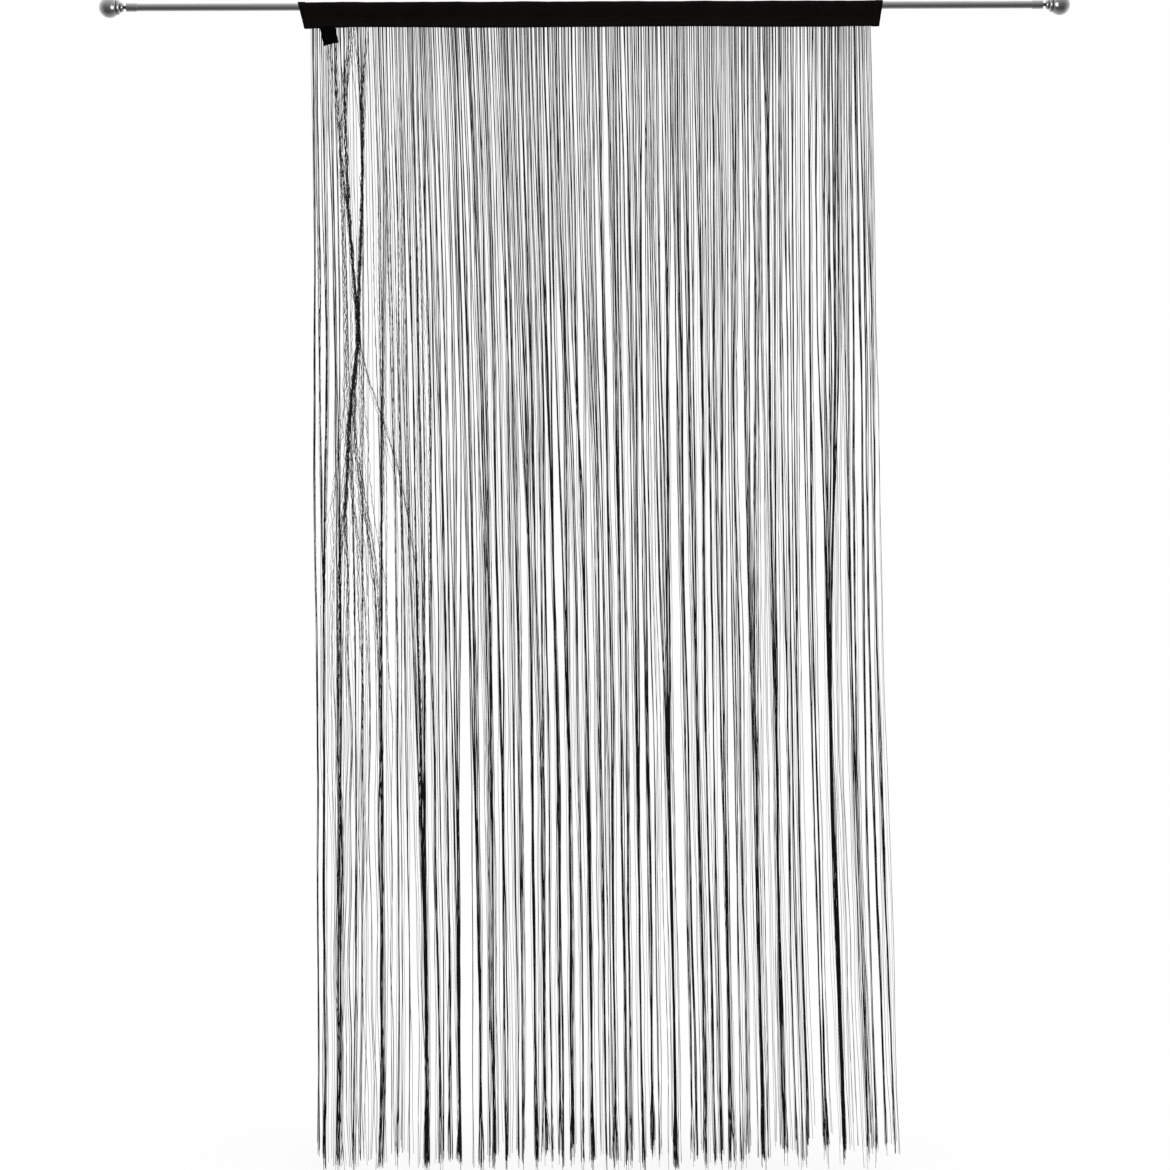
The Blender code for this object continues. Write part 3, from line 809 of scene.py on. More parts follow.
step = np.gradient(outer, axis=1)
normal = np.stack([-step[..., 1], step[..., 0]], -1)
normal /= np.linalg.norm(normal, axis=-1, keepdims=True)
height = outer[..., 1]
side = np.sign(outer[..., 0])
belly_band = ease((height - seam_z) / 0.004) * ease((-0.0015 - height) / 0.006)
seam_band = np.exp(-(((height - seam_z) / 0.0045) ** 2))
hem_band = ease((seam_z - height) / 0.010)
crown = ease(height / 0.005)
calm = (0.15 + 0.85 * ease((from_end - 0.004) / 0.02))[:, None]
push = np.zeros(height.shape)
for seed, sign in ((11, -1), (57, 1)):
    long_waves = waves(seed, where, 0.31, 0.045, 5)[:, None] * 0.8
    slanting = 0.35 * waves(seed + 1, where[:, None] + 1.4 * height * sign, 0.09, 0.03, 3)
    slack = (1 + long_waves + slanting) / 2
    pucker = (1 + waves(seed + 2, where[:, None] + 0.2 * height, 0.017, 0.0075, 3)) / 2
    ripple = (1 + waves(seed + 3, where, 0.12, 0.02, 4)[:, None]) / 2
    part = BELLY_PUSH * belly_band * slack + PUCKER_PUSH * seam_band * pucker + RIPPLE_PUSH * hem_band * ripple
    push += np.where(side == sign, np.clip(part, 0, None), 0)
push += CROWN_PUSH * crown * np.clip(1 + waves(91, where, 0.16, 0.03, 4)[:, None], 0, None)
push *= calm
outer += normal * push[..., None]
inner += normal * (push * 0.97)[..., None]
middle = (outer + inner) / 2
outer = middle + (outer - middle) * fullness[:, None, None]
inner = middle + (inner - middle) * fullness[:, None, None]
print("largest push", round(1000 * float(push.max()), 2), "mm")

# %% [markdown]
# Both ends slant inwards as they go down, as the picture shows, because the cloth is wider over the rod than at
# the hem. The mesh is closed all round, with rounded hems. Its UV map is the cloth laid flat, in metres.

# %% Close the sleeve's section
LEFT_SLANT, RIGHT_SLANT = 0.010, 0.006
HEM_TURN = 0.0004  # the way round a hem's edge on the flat cloth


def slanted(x, z):
    down = (sleeve_top - z) / (sleeve_top - hem_z)
    share = (x - sleeve_left) / (sleeve_right - sleeve_left)
    return x + LEFT_SLANT * down * (1 - share) - RIGHT_SLANT * down * share


def on_sleeve(n, column):
    """A point of the sleeve's outer face."""
    y, z = outer[n, column]
    return slanted(where[n], z), y, z


rounded_hems = []
for edge in (0, -1):
    centre, reach = (outer[:, edge] + inner[:, edge]) / 2, (outer[:, edge] - inner[:, edge]) / 2
    depth = np.stack([np.zeros(len(where)), -np.linalg.norm(reach, axis=1)], -1)
    angles = [math.pi * n / 4 for n in (1, 2, 3)]
    rounded_hems.append([centre + reach * math.cos(a) + depth * math.sin(a) for a in angles])
loop_lines = [outer[:, n] for n in range(ring_count)] + rounded_hems[1]
loop_lines += [inner[:, n] for n in reversed(range(ring_count))] + rounded_hems[0][::-1]
loop_lines = np.stack(loop_lines, 1)
section = np.linalg.norm(np.diff(outer[len(where) // 2], axis=0), axis=1)
arc_length = np.concatenate([[0], np.cumsum(section)])
v_of = np.concatenate([arc_length, [arc_length[-1] + HEM_TURN] * 3, arc_length[::-1], [-HEM_TURN] * 3])
print("the closed section has", loop_lines.shape[1], "points")


# %% Build the sleeve's mesh
def lay_uv(shape, layer, uv_of):
    """Gives each corner of each face its place on the flat cloth."""
    for face in shape.faces:
        for corner in face.loops:
            corner[layer].uv = uv_of[corner.vert]


shape = bmesh.new()
uv_layer = shape.loops.layers.uv.new("cloth")
rings, uv_of = [], {}
for n, station in enumerate(loop_lines):
    ring = []
    for (y, z), v in zip(station, v_of):
        vert = shape.verts.new((slanted(where[n], z), y, z))
        uv_of[vert] = (where[n], v)
        ring.append(vert)
    rings.append(ring)
for ring, following in zip(rings, rings[1:]):
    bridge(shape, ring, following)
first_inner = ring_count + 3
last_inner = first_inner + ring_count - 1
for ring in (rings[0], rings[-1]):
    for k in range(ring_count - 1):
        shape.faces.new((ring[k], ring[k + 1], ring[last_inner - 1 - k], ring[last_inner - k]))
    shape.faces.new(ring[ring_count - 1:first_inner + 1])
    shape.faces.new(ring[last_inner:] + [ring[0]])
lay_uv(shape, uv_layer, uv_of)
header = mesh_object("folded_header", shape, header_cloth, "header", "header_sleeve")

# %% [markdown]
# ## The heading tape
# The strings are knitted into a tape that is sewn between the two layers of the hem. Only its lower edge and its
# ends show. It is ribbed, with an upright rib every 1.5 mm.

# %% Knit the tape
RIBS, STEPS_PER_RIB = 640, 4
RIB_FLOOR, RIB_RISE = 0.72, 0.28  # shares of the tape's thickness
EDGE_ROUND = 0.0002

tape_half = (tape_high.y - tape_low.y) / 2
rib_x = np.linspace(strings_left, strings_right, STEPS_PER_RIB * RIBS + 1)
rib_phase = np.pi * (rib_x - strings_left) / (strings_right - strings_left) * RIBS
rib_depth = tape_half * (RIB_FLOOR + RIB_RISE * np.abs(np.sin(rib_phase)))
foot, edge = tape_low.z, tape_low.z + EDGE_ROUND
rows = [(-1, edge), (-1, tape_high.z), (1, tape_high.z), (1, edge), (0.5, foot), (-0.5, foot)]
shape = bmesh.new()
uv_layer = shape.loops.layers.uv.new("cloth")
rings = [[shape.verts.new((x, sign * depth, z)) for sign, z in rows] for x, depth in zip(rib_x, rib_depth)]
for ring, following in zip(rings, rings[1:]):
    bridge(shape, ring, following)
shape.faces.new(rings[0])
shape.faces.new(rings[-1])
lay_uv(shape, uv_layer, {vert: (vert.co.x, vert.co.z + vert.co.y) for vert in shape.verts})
tape = mesh_object("ribbed_tape", shape, tape_knit, "header", "heading_tape")

# %% [markdown]
# ## A workshop for geometry trees
# Stitches, loops and strings repeat along lines, so Geometry Nodes makes them. `grow` puts a tree on a mesh of
# plain lines, sets its named inputs through the sockets' identifiers, takes the evaluated result as a plain mesh
# and drops the modifier, so that what rides on the body is an ordinary piece.


# %% Define how lines grow into pieces
def lines_mesh(name, lines, numbers=None):
    """Plain lines as a mesh of edges. Where numbers are given, each line's points carry its own number."""
    points = np.concatenate(lines)
    edges, start = [], 0
    for line in lines:
        edges += [(n, n + 1) for n in range(start, start + len(line) - 1)]
        start += len(line)
    mesh = bpy.data.meshes.new(name)
    mesh.from_pydata([tuple(p) for p in points], edges, [])
    if numbers is not None:
        own = mesh.attributes.new("own_number", "FLOAT", "POINT")
        own.data.foreach_set("value", np.repeat(numbers, [len(line) for line in lines]).astype(np.float32))
    return mesh


def faces_out(mesh):
    """Turns a mesh right side out if its volume comes out negative."""
    shape = bmesh.new()
    shape.from_mesh(mesh)
    if shape.calc_volume(signed=True) < 0:
        bmesh.ops.reverse_faces(shape, faces=shape.faces)
    shape.to_mesh(mesh)
    shape.free()


def grow(name, mesh, tree, values, body, replaces=()):
    holder = bpy.data.objects.new(name + "_lines", mesh)
    bpy.context.scene.collection.objects.link(holder)
    modifier = holder.modifiers.new("grow", "NODES")
    modifier.node_group = tree
    sockets = {item.name: item.identifier for item in tree.interface.items_tree if item.in_out == "INPUT"}
    for label, value in values.items():
        modifier[sockets[label]] = value
    seen = holder.evaluated_get(bpy.context.evaluated_depsgraph_get())
    plain = bpy.data.meshes.new_from_object(seen)
    holder.modifiers.clear()
    bpy.data.objects.remove(holder)
    faces_out(plain)
    for left_over in [a.name for a in plain.attributes if a.name == "own_number"]:
        plain.attributes.remove(plain.attributes[left_over])
    plain.shade_smooth()
    obj = bpy.data.objects.new(name, plain)
    bpy.context.scene.collection.objects.link(obj)
    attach(obj, body)
    if replaces:
        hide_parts(*replaces)
    return obj


def end_tree(tree, sink, geometry, material):
    """Ends every tree in the same way: its instances are made real and take one material."""
    real = node(tree, "GeometryNodeRealizeInstances", {0: geometry}).outputs[0]
    done = node(tree, "GeometryNodeSetMaterial", {"Geometry": real, "Material": material}).outputs[0]
    close(tree, sink, {"Geometry": done})


print("ready to grow pieces from lines")

# %% [markdown]
# ## Stitches
# Lockstitch runs along the seam and the hem on both faces, and up and over at the two side hems. Each stitch is a
# small grain of thread, half sunk in the cloth. The tree resamples a line to the stitch length, puts one grain on
# each point along the line's direction and makes all of them real.

# %% Build the stitch tree
tree, given, sink = group(
    "stitch_row",
    "GeometryNodeTree",
    [
        ("Geometry", "NodeSocketGeometry", None),
        ("Stitch Pitch", "NodeSocketFloat", 0.0032),
        ("Stitch Length", "NodeSocketFloat", 0.0026),
        ("Thread Radius", "NodeSocketFloat", 0.00022),
        ("Unevenness", "NodeSocketFloat", 0.12),
        ("Seed", "NodeSocketInt", 7),
        ("Finish", "NodeSocketMaterial", None),
    ],
    [("Geometry", "NodeSocketGeometry")],
)
curve = node(tree, "GeometryNodeMeshToCurve", {"Mesh": given["Geometry"]}).outputs[0]
paces = {"Curve": curve, "Length": given["Stitch Pitch"]}
points = node(tree, "GeometryNodeResampleCurve", paces, mode="LENGTH").outputs[0]
grain = node(tree, "GeometryNodeMeshUVSphere", {"Segments": 6, "Rings": 5, "Radius": 1.0}).outputs[0]
half_length = maths(tree, "MULTIPLY", given["Stitch Length"], 0.5)
size = node(tree, "ShaderNodeCombineXYZ", {0: given["Thread Radius"], 1: given["Thread Radius"], 2: half_length})
tangent = node(tree, "GeometryNodeInputTangent").outputs[0]
aim = node(tree, "FunctionNodeAlignRotationToVector", {"Vector": tangent}, axis="Z").outputs[0]
least = maths(tree, "SUBTRACT", 1.0, given["Unevenness"])
most = maths(tree, "ADD", 1.0, given["Unevenness"])
chance = node(tree, "FunctionNodeRandomValue", {2: least, 3: most, "Seed": given["Seed"]}, data_type="FLOAT")
scale = vector_maths(tree, "SCALE", {0: size.outputs[0], "Scale": chance.outputs[1]})
sewn = {"Points": points, "Instance": grain, "Rotation": aim, "Scale": scale}
end_tree(tree, sink, node(tree, "GeometryNodeInstanceOnPoints", sewn).outputs[0], given["Finish"])
stitch_row = tree
print("tree", stitch_row.name)

# %% Sew the header
HEM_ROW, ROW_MARGIN, SIDE_ROW_IN = 3, 6, 0.0015

back = ring_count - 1
sew_lines = []
for column in (HEM_ROW, LOWER_STEPS, back - LOWER_STEPS, back - HEM_ROW):
    sew_lines.append([on_sleeve(n, column) for n in range(ROW_MARGIN, len(where) - ROW_MARGIN)])
for row_x in (SIDE_HEM - SIDE_ROW_IN, sleeve_width - SIDE_HEM + SIDE_ROW_IN):
    n = int(np.argmin(np.abs(along - row_x)))
    sew_lines.append([on_sleeve(n, column) for column in range(2, ring_count - 2)])
rows = lines_mesh("sewing", [np.array(line) for line in sew_lines])
values = {"Stitch Pitch": 0.0032, "Stitch Length": 0.0026, "Thread Radius": 0.00022, "Seed": 7, "Finish": sewing_thread}
stitches = grow("seam_stitches", rows, stitch_row, values, "header")
print("stitches:", len(stitches.data.polygons), "faces")

# %% [markdown]
# ## How the strings hang
# There are well over a thousand strings, each 0.5 to 0.8 mm thick. Right below the hem they stand almost evenly, in
# small bundles with thin slits of light between them. Further down the bundles draw together into dark clumps and
# the clumps into looser tresses with white gaps, while loose strings wander on their own as pale hairs. Simulating
# so many strings would be slow and hard to steer, so each string's line is computed: it is pulled to the middle of
# its bundle, then of its clump, then of its tress, and keeps its own seat in the round section of the first two, so
# that strings lie beside and behind each other as real ones do.

# %% Set the numbers of the fringe
YARN_RADIUS = 0.0004
STRINGS_IN_LANE = [72, 63, 56, 77, 78, 71, 63, 74, 78, 68, 75, 77, 75, 73, 77, 70, 78, 64, 84, 76]
STRING_POINTS, SNAG_POINTS = 96, 250
PLAIN_SHARE = np.linspace(0, 1, STRING_POINTS)
CLOSE_SHARE = np.linspace(0.05, 0.68, SNAG_POINTS)
FINE_SHARE = np.unique(np.concatenate([np.linspace(0, 1, STRING_POINTS // 2), CLOSE_SHARE]))
ROOT_DROP, CORD_HEM = 0.0006, 0.0353
root_z = hinge_z - ROOT_DROP
fall = root_z - cad_box[0].z


def cord_lift(x):
    """How far the cord edge is drawn up where the hem above it is, so that it stays between the lips."""
    return np.clip(smooth_line(x, HEM_AT, HEM_Z) + CORD_HEM, -0.0003, 0.0009)


print(sum(STRINGS_IN_LANE), "strings,", round(fall, 3), "m long")

# %% [markdown]
# The strings are not plumb. They lean to the right on their way down, most near the top left and the bottom right.
# The lean was measured on the picture in parts of a hundred, at twelve places along the header and eight depths.
# Followed on the way down, it says how far a string that starts at each place has moved by each depth.

# %% Set the lean of the field
LEAN_AT = np.array([-0.471, -0.402, -0.309, -0.217, -0.124, -0.032, 0.061, 0.154, 0.246, 0.339, 0.432, 0.480])
LEAN_DOWN = [0.05, 0.14, 0.29, 0.55, 0.87, 1.26, 1.57, 1.78]
LEAN = [
    [0.2, 2.0, 1.9, 5.2, 2.5, 1.0, 1.6, 0.9, -0.1, 0.2, -0.5, 1.4],
    [0.5, 2.9, 2.0, 3.4, 3.0, 1.6, 2.5, 0.2, 1.4, -0.4, -0.2, 1.6],
    [0.5, 1.9, 2.0, 2.9, 2.5, 2.5, 1.2, 1.2, 0.6, 0.4, 0.2, 1.6],
    [0.5, 0.7, 1.9, 2.3, 2.0, 2.2, 1.3, 1.4, 0.0, 0.7, 0.7, 1.0],
    [0.5, 0.0, 1.0, 1.8, 1.3, 2.4, 1.3, 1.1, 1.0, 0.4, 1.2, 1.4],
    [0.3, -1.6, 2.2, 1.1, 0.8, 1.4, 1.4, 1.6, 1.3, 1.4, 1.9, 2.6],
    [0.1, -1.6, 1.9, 0.9, 0.3, 0.8, 0.6, 2.1, 1.7, 1.4, 3.4, 3.4],
    [0.0, -1.5, -0.2, 0.6, 0.5, 0.1, 1.1, 1.8, 1.4, 2.5, 3.2, 3.4],
]
depths = np.linspace(0, fall, 81)
moved_at = np.zeros((len(depths), len(LEAN_AT)))
for n in range(1, len(depths)):
    slope = [np.interp(depths[n], LEAN_DOWN, column) / 100 for column in zip(*LEAN)]
    moved_at[n] = moved_at[n - 1] + np.interp(LEAN_AT + moved_at[n - 1], LEAN_AT, slope) * (depths[n] - depths[n - 1])


def leaning(x, down):
    """How far the lean has carried the points of a string to the right."""
    moved = np.stack([np.interp(down, depths, column) for column in moved_at.T], 1)
    left = np.clip(np.searchsorted(LEAN_AT, x) - 1, 0, len(LEAN_AT) - 2)
    part = np.clip((x - LEAN_AT[left]) / (LEAN_AT[left + 1] - LEAN_AT[left]), 0, 1)
    rows = np.arange(len(x))
    return moved[rows, left] * (1 - part) + moved[rows, left + 1] * part


print("the ends lean out by", np.round(1000 * moved_at[-1]).astype(int), "mm")

# %% [markdown]
# The strings are sorted at random, but always in the same way, because every number comes from a fixed seed. A group
# is parted into bundles, the bundles into clumps and the clumps into tresses. Most of them close well, and the rest
# stay slack and let light through.

# %% Define the parting
FIRM_SHARE = 0.72


def parted(total, least, most, chance):
    """Splits a count into random parts."""
    parts = []
    while sum(parts) < total:
        parts.append(min(int(chance.integers(least, most + 1)), total - sum(parts)))
    return parts


def firmness(count, chance):
    """How far each bundle or clump closes."""
    firm = chance.random(count) < FIRM_SHARE
    return np.where(firm, chance.uniform(0.92, 1.0, count), chance.uniform(0.2, 0.8, count))


def seats(count, chance):
    """Places in a round section about 1 across for each of count strings, and how fast each turns about it."""
    return np.sqrt(chance.random(count)), chance.uniform(0, 2 * np.pi, count), chance.normal(0, 2.0, count)


def middles(places, owner, wander, chance):
    """The middle of each bundle, clump or tress, moved a little to one side."""
    count = owner[-1] + 1
    return np.array([places[owner == n].mean() for n in range(count)]) + chance.normal(0, wander, count)


print("parting tools ready")

# %% [markdown]
# Near the left end some strings are snagged. Strands from beside the label and from further right run together and
# meet in a tight dark bend. Below it most of them swerve back to the left, and a few go far out to the right. Six
# paths through the snag were read off the picture, each as its place along the header at thirteen depths. A string
# that is caught takes one of the paths that start near its own root. Below the bend each strand parts again into
# four, so that it doesn't run on as one thick rope. The strings around the snag are kinked as well.

# %% Set the numbers of the snag
SNAG_DOWN = [0.00, 0.12, 0.22, 0.31, 0.44, 0.50, 0.54, 0.61, 0.70, 0.82, 0.98, 1.22, 1.98]
SNAG_X = np.array([
    [-0.430, -0.425, -0.419, -0.408, -0.397, -0.392, -0.390, -0.399, -0.407, -0.412, -0.417, -0.419, -0.410],
    [-0.414, -0.413, -0.410, -0.406, -0.396, -0.391, -0.389, -0.398, -0.406, -0.405, -0.404, -0.401, -0.399],
    [-0.382, -0.382, -0.382, -0.383, -0.388, -0.390, -0.390, -0.397, -0.405, -0.402, -0.401, -0.400, -0.399],
    [-0.422, -0.421, -0.419, -0.416, -0.413, -0.412, -0.411, -0.412, -0.418, -0.427, -0.431, -0.430, -0.416],
    [-0.428, -0.424, -0.418, -0.407, -0.397, -0.391, -0.389, -0.385, -0.374, -0.361, -0.341, -0.335, -0.330],
    [-0.384, -0.383, -0.383, -0.384, -0.388, -0.390, -0.389, -0.383, -0.371, -0.357, -0.337, -0.331, -0.326],
])
OUTER_STRANDS = (4, 5)  # the two that go far out to the right
STRAND_HANDICAP = [0, 0, 0, 0, 0.007, 0.005]  # keeps strings from taking those two too often
SNAG_ROOTS = (-0.446, -0.368)
SNAGGED = {0: 0.36, 1: 0.56, 2: 0.46}  # share of the strings of a group that are caught
CURLED = {0: 0.20, 1: 0.55, 2: 0.45, 3: 0.2}
SNAG_PARTS = [-0.024, -0.006, 0.014, 0.046]  # how far to the side each of the four parts goes
PART_SHARES = [0.3, 0.3, 0.2, 0.2]
PART_SEED, DRIFT_SEED = 8300, 5000
BEND_DOWN, PARTING_DOWN = 0.50, 0.52
STRAND_RADIUS, BEND_SWELL, STRAY_SWELL, KEPT_SWELL = 0.0022, 0.0008, 0.009, -0.0006
print(len(SNAG_X), "strands in the snag")


# %% Draw strings into the snag
def snagged(root, x, y, down, turn, part, chance):
    """Draws a string into one of the strands of the snag. The strands are rough. Below the bend they part."""
    far = np.abs(SNAG_X[:, 0] - root) + chance.uniform(0, 0.02, len(SNAG_X)) + STRAND_HANDICAP
    strand = int(np.argmin(far))
    held = ease(down / chance.uniform(0.08, 0.26))
    path = np.interp(down, SNAG_DOWN, SNAG_X[strand])
    path = np.convolve(np.pad(path, 4, mode="edge"), np.ones(9) / 9, mode="valid")
    bend = np.exp(-(((down - BEND_DOWN) / 0.06) ** 2))
    below = ease((down - PARTING_DOWN) / (0.3 if strand in OUTER_STRANDS else 0.6))
    width = STRAND_RADIUS + BEND_SWELL * bend + (STRAY_SWELL if chance.random() < 0.3 else KEPT_SWELL) * below
    seat = width * math.sqrt(chance.random())
    own_turn = turn + chance.normal(0, 12) * np.minimum(down, 0.7) + chance.normal(0, 1.5) * down
    rough = ease((down - 0.08) / 0.16) * ease((1.25 - down) / 0.6) * chance.uniform(0.0008, 0.0023)
    path = path + rough * waves(int(chance.integers(90000)), down, 0.05, 0.018, 3)
    drift = 0.0025 * ease((down - BEND_DOWN) / 0.35) * waves(DRIFT_SEED + part, down, 0.9, 0.3, 2)
    path = path + SNAG_PARTS[part] * below + drift
    return x + (path + seat * np.cos(own_turn) - x) * held, y * (1 - held) + seat * np.sin(own_turn) * held


def curls(seed, down, chance):
    """Short curls on a string near the snag, strongest at one height of its own."""
    middle = chance.uniform(0.40, 1.05)
    held = np.exp(-(((down - middle) / chance.uniform(0.10, 0.28)) ** 2))
    return chance.uniform(0.0006, 0.0017) * held * waves(seed, down, 0.045, 0.014, 3)


print("snag tools ready")

# %% [markdown]
# A plan is drawn for each group first: which strings share a bundle, clump and tress, where the middles of those are
# and at what heights they gather. The heights differ, because real strings don't gather all at the same level.

# %% Plan a string group
PLAN_SEED = 4100


def plan_group(lane, chance):
    count = STRINGS_IN_LANE[lane]
    roots = strings_left + lane_width * (lane + (np.arange(count) + 0.5 + chance.uniform(-0.3, 0.3, count)) / count)
    sizes = np.array(parted(count, 1, 9, chance))
    bundle = np.repeat(np.arange(len(sizes)), sizes)
    groups = np.array(parted(len(sizes), 1, 4, chance))
    clump = np.repeat(np.arange(len(groups)), groups)
    tresses = parted(len(groups), 1, 4, chance)
    tress = np.repeat(np.arange(len(tresses)), tresses)
    members = np.array([sizes[clump == c].sum() for c in range(len(groups))])
    bundle_x = middles(roots, bundle, 0.0007, chance)
    clump_x = middles(bundle_x, clump, 0.0018, chance)
    tress_x = middles(clump_x, tress, 0.0035, chance)
    plan = SimpleNamespace(lane=lane, roots=roots, bundle=bundle, clump=clump, tress=tress)
    plan.sizes, plan.members = sizes, members
    plan.bundle_x, plan.clump_x, plan.tress_x = bundle_x, clump_x, tress_x
    plan.bundle_pull, plan.clump_pull = firmness(len(sizes), chance), firmness(len(groups), chance)
    plan.tress_pull = firmness(len(tresses), chance)
    plan.gather_from, plan.gather_by = chance.uniform(-0.14, 0.10, len(sizes)), chance.uniform(0.10, 0.68, len(sizes))
    plan.tress_from, plan.tress_by = chance.uniform(0.0, 0.35, len(tresses)), chance.uniform(0.45, 0.95, len(tresses))
    plan.open_bundle, plan.open_clump = chance.uniform(0.4, 0.85, len(sizes)), chance.uniform(0.4, 1.0, len(groups))
    plan.bundle_seat, plan.clump_seat = seats(count, chance), seats(len(sizes), chance)
    plan.clump_end = chance.normal(0, 0.0075, len(groups))
    plan.snag_part = np.random.default_rng(PART_SEED + lane).choice(len(SNAG_PARTS), len(sizes), p=PART_SHARES)
    return plan


print("a group has its own seed, from", PLAN_SEED, "on")

# %% [markdown]
# The cut ends are uneven. Each clump was cut at its own height, almost a third of the strings hang lower than the
# rest, and the right-hand third of the curtain ends a little higher.

# %% Define the ends
END_RAISE, RIGHT_RAISE, RIGHT_FROM = 0.018, 0.014, 0.24
LONGER_SHARE, LONGER_BY, SHORTER_BY, LOWEST = 0.3, 0.013, 0.010, 0.012


def string_end(root, clump_end, chance):
    """The height of a string's cut end."""
    usual = cad_box[0].z + END_RAISE + RIGHT_RAISE * ease((root - RIGHT_FROM) / 0.06)
    longer = chance.exponential(LONGER_BY) if chance.random() < LONGER_SHARE else 0
    end_z = usual + clump_end + chance.exponential(SHORTER_BY) - 0.006 - longer
    return max(end_z, cad_box[0].z - LOWEST + chance.uniform(0, 0.014))


print("ends start from", round(cad_box[0].z + END_RAISE, 3), "m")

# %% [markdown]
# One function draws one string from its plan. Its three pulls are `one` to the bundle, `two` to the clump and
# `three` to the tress. The string then moves out with the lean of the field and sways a little: with its clump,
# with its bundle and by itself. The first number given to `waves` is a seed, different for each of them.

# %% Draw one string
LOOSE_SHARE = 0.17
CLUMP_SWAY, BUNDLE_SWAY = 0.0016, 0.0009
LOOSE_SWAY, KEPT_SWAY, LOOSE_DEPTH, KEPT_DEPTH = 0.0015, 0.00025, 0.0012, 0.0005


def gathered(plan, s, share, down, own):
    """A string's line drawn in to the middles of its bundle, clump and tress, and its turn about the clump."""
    b = plan.bundle[s]
    c = plan.clump[b]
    t = plan.tress[c]
    one = plan.bundle_pull[b] * own * (0.7 + 0.3 * ease(share / 0.06))
    firm = plan.clump_pull[c] + (1 - plan.clump_pull[c]) * 0.85 * ease((share - 0.3) / 0.6)
    two = firm * own * ease((share - plan.gather_from[b]) / (plan.gather_by[b] - plan.gather_from[b]))
    three = plan.tress_pull[t] * own * ease((share - plan.tress_from[t]) / (plan.tress_by[t] - plan.tress_from[t]))
    flare = 1 - 0.6 * ease((share - 0.70) / 0.18) + 2.7 * ease((share - 0.945) / 0.05)
    breathe = np.exp(0.5 * waves(plan.lane * 19 + c, down, 0.7, 0.2, 3))
    radius, turn, spin = (part[s] for part in plan.bundle_seat)
    reach = YARN_RADIUS * math.sqrt(plan.sizes[b]) * plan.open_bundle[b] * radius * flare * one
    x = plan.roots[s] + (plan.bundle_x[b] - plan.roots[s]) * one + reach * np.cos(turn + spin * share)
    y = reach * np.sin(turn + spin * share)
    radius, turn, spin = (part[b] for part in plan.clump_seat)
    reach = YARN_RADIUS * math.sqrt(plan.members[c]) * plan.open_clump[c] * radius * flare * breathe * two
    x = x + (plan.clump_x[c] - plan.bundle_x[b]) * two + reach * np.cos(turn + spin * share)
    y = y + reach * np.sin(turn + spin * share)
    return x + (plan.tress_x[t] - plan.clump_x[c]) * three, y, turn


def string_line(plan, s, chance):
    """The points of string s of a group, from the hem down."""
    lane, root, b = plan.lane, plan.roots[s], plan.bundle[s]
    c = plan.clump[b]
    loose, curled = chance.random() < LOOSE_SHARE, chance.random() < CURLED.get(lane, 0)
    caught = chance.random() < SNAGGED.get(lane, 0) and SNAG_ROOTS[0] < root < SNAG_ROOTS[1]
    share = FINE_SHARE if curled or caught else PLAIN_SHARE
    down = share * fall
    own = chance.uniform(0.0, 0.45) if loose else chance.uniform(0.88, 1.0)
    x, y, turn = gathered(plan, s, share, down, own)
    x = x + leaning(x, down)
    settled = ease(share / 0.12)
    x = x + CLUMP_SWAY * waves(lane * 97 + c, down, 2.2, 0.7, 3) * ease(share / 0.35)
    x = x + BUNDLE_SWAY * waves(lane * 131 + 50 + b, down, 1.4, 0.3, 3) * settled
    x = x + (LOOSE_SWAY if loose else KEPT_SWAY) * waves(lane * 53 + 900 + s, down, 1.2, 0.2, 3) * settled
    y = y + (LOOSE_DEPTH if loose else KEPT_DEPTH) * waves(lane * 71 + 400 + s, down, 1.0, 0.2, 3)
    if caught:
        x, y = snagged(root, x, y, down, turn, plan.snag_part[b], chance)
    if curled:
        x = x + curls(7000 + 61 * lane + s, down, chance)
    end_z = string_end(root, plan.clump_end[c], chance)
    top_z = root_z + cord_lift(root)
    return np.stack([x, y * ease(share / 0.05), top_z + (end_z - top_z) * share], 1)


print("ready to draw", sum(STRINGS_IN_LANE), "strings")

# %% [markdown]
# The tree turns each line into a thin four-sided string. Its named inputs are the yarn's radius, how much the
# radius changes along a string, how much finer the finest string is, and how far and how finely a string kinks.
# Every string carries its own number, so that the noise and the fineness differ from one to the next.

# %% Build the string tree
tree, given, sink = group(
    "hanging_strings",
    "GeometryNodeTree",
    [
        ("Geometry", "NodeSocketGeometry", None),
        ("Yarn Radius", "NodeSocketFloat", YARN_RADIUS),
        ("Yarn Sides", "NodeSocketInt", 4),
        ("Radius Change", "NodeSocketFloat", 0.25),
        ("Finest By", "NodeSocketFloat", 0.4),
        ("Kink", "NodeSocketFloat", 0.0007),
        ("Kinks Per Metre", "NodeSocketFloat", 32.0),
        ("Seed", "NodeSocketFloat", 3.0),
        ("Finish", "NodeSocketMaterial", None),
    ],
    [("Geometry", "NodeSocketGeometry")],
)
curve = node(tree, "GeometryNodeMeshToCurve", {"Mesh": given["Geometry"]}).outputs[0]
number = node(tree, "GeometryNodeInputNamedAttribute", {"Name": "own_number"}, data_type="FLOAT").outputs[0]
phase = maths(tree, "ADD", maths(tree, "MULTIPLY", number, 7.31), given["Seed"])
place = node(tree, "GeometryNodeInputPosition").outputs[0]
kinks = {"Vector": place, "W": phase, "Scale": given["Kinks Per Metre"], "Detail": 1.0}
noise = node(tree, "ShaderNodeTexNoise", kinks, noise_dimensions="4D").outputs
centred = vector_maths(tree, "SUBTRACT", {0: noise["Color"], 1: (0.5, 0.5, 0.5)})
sideways = vector_maths(tree, "MULTIPLY", {0: centred, 1: (1.0, 0.6, 0.0)})
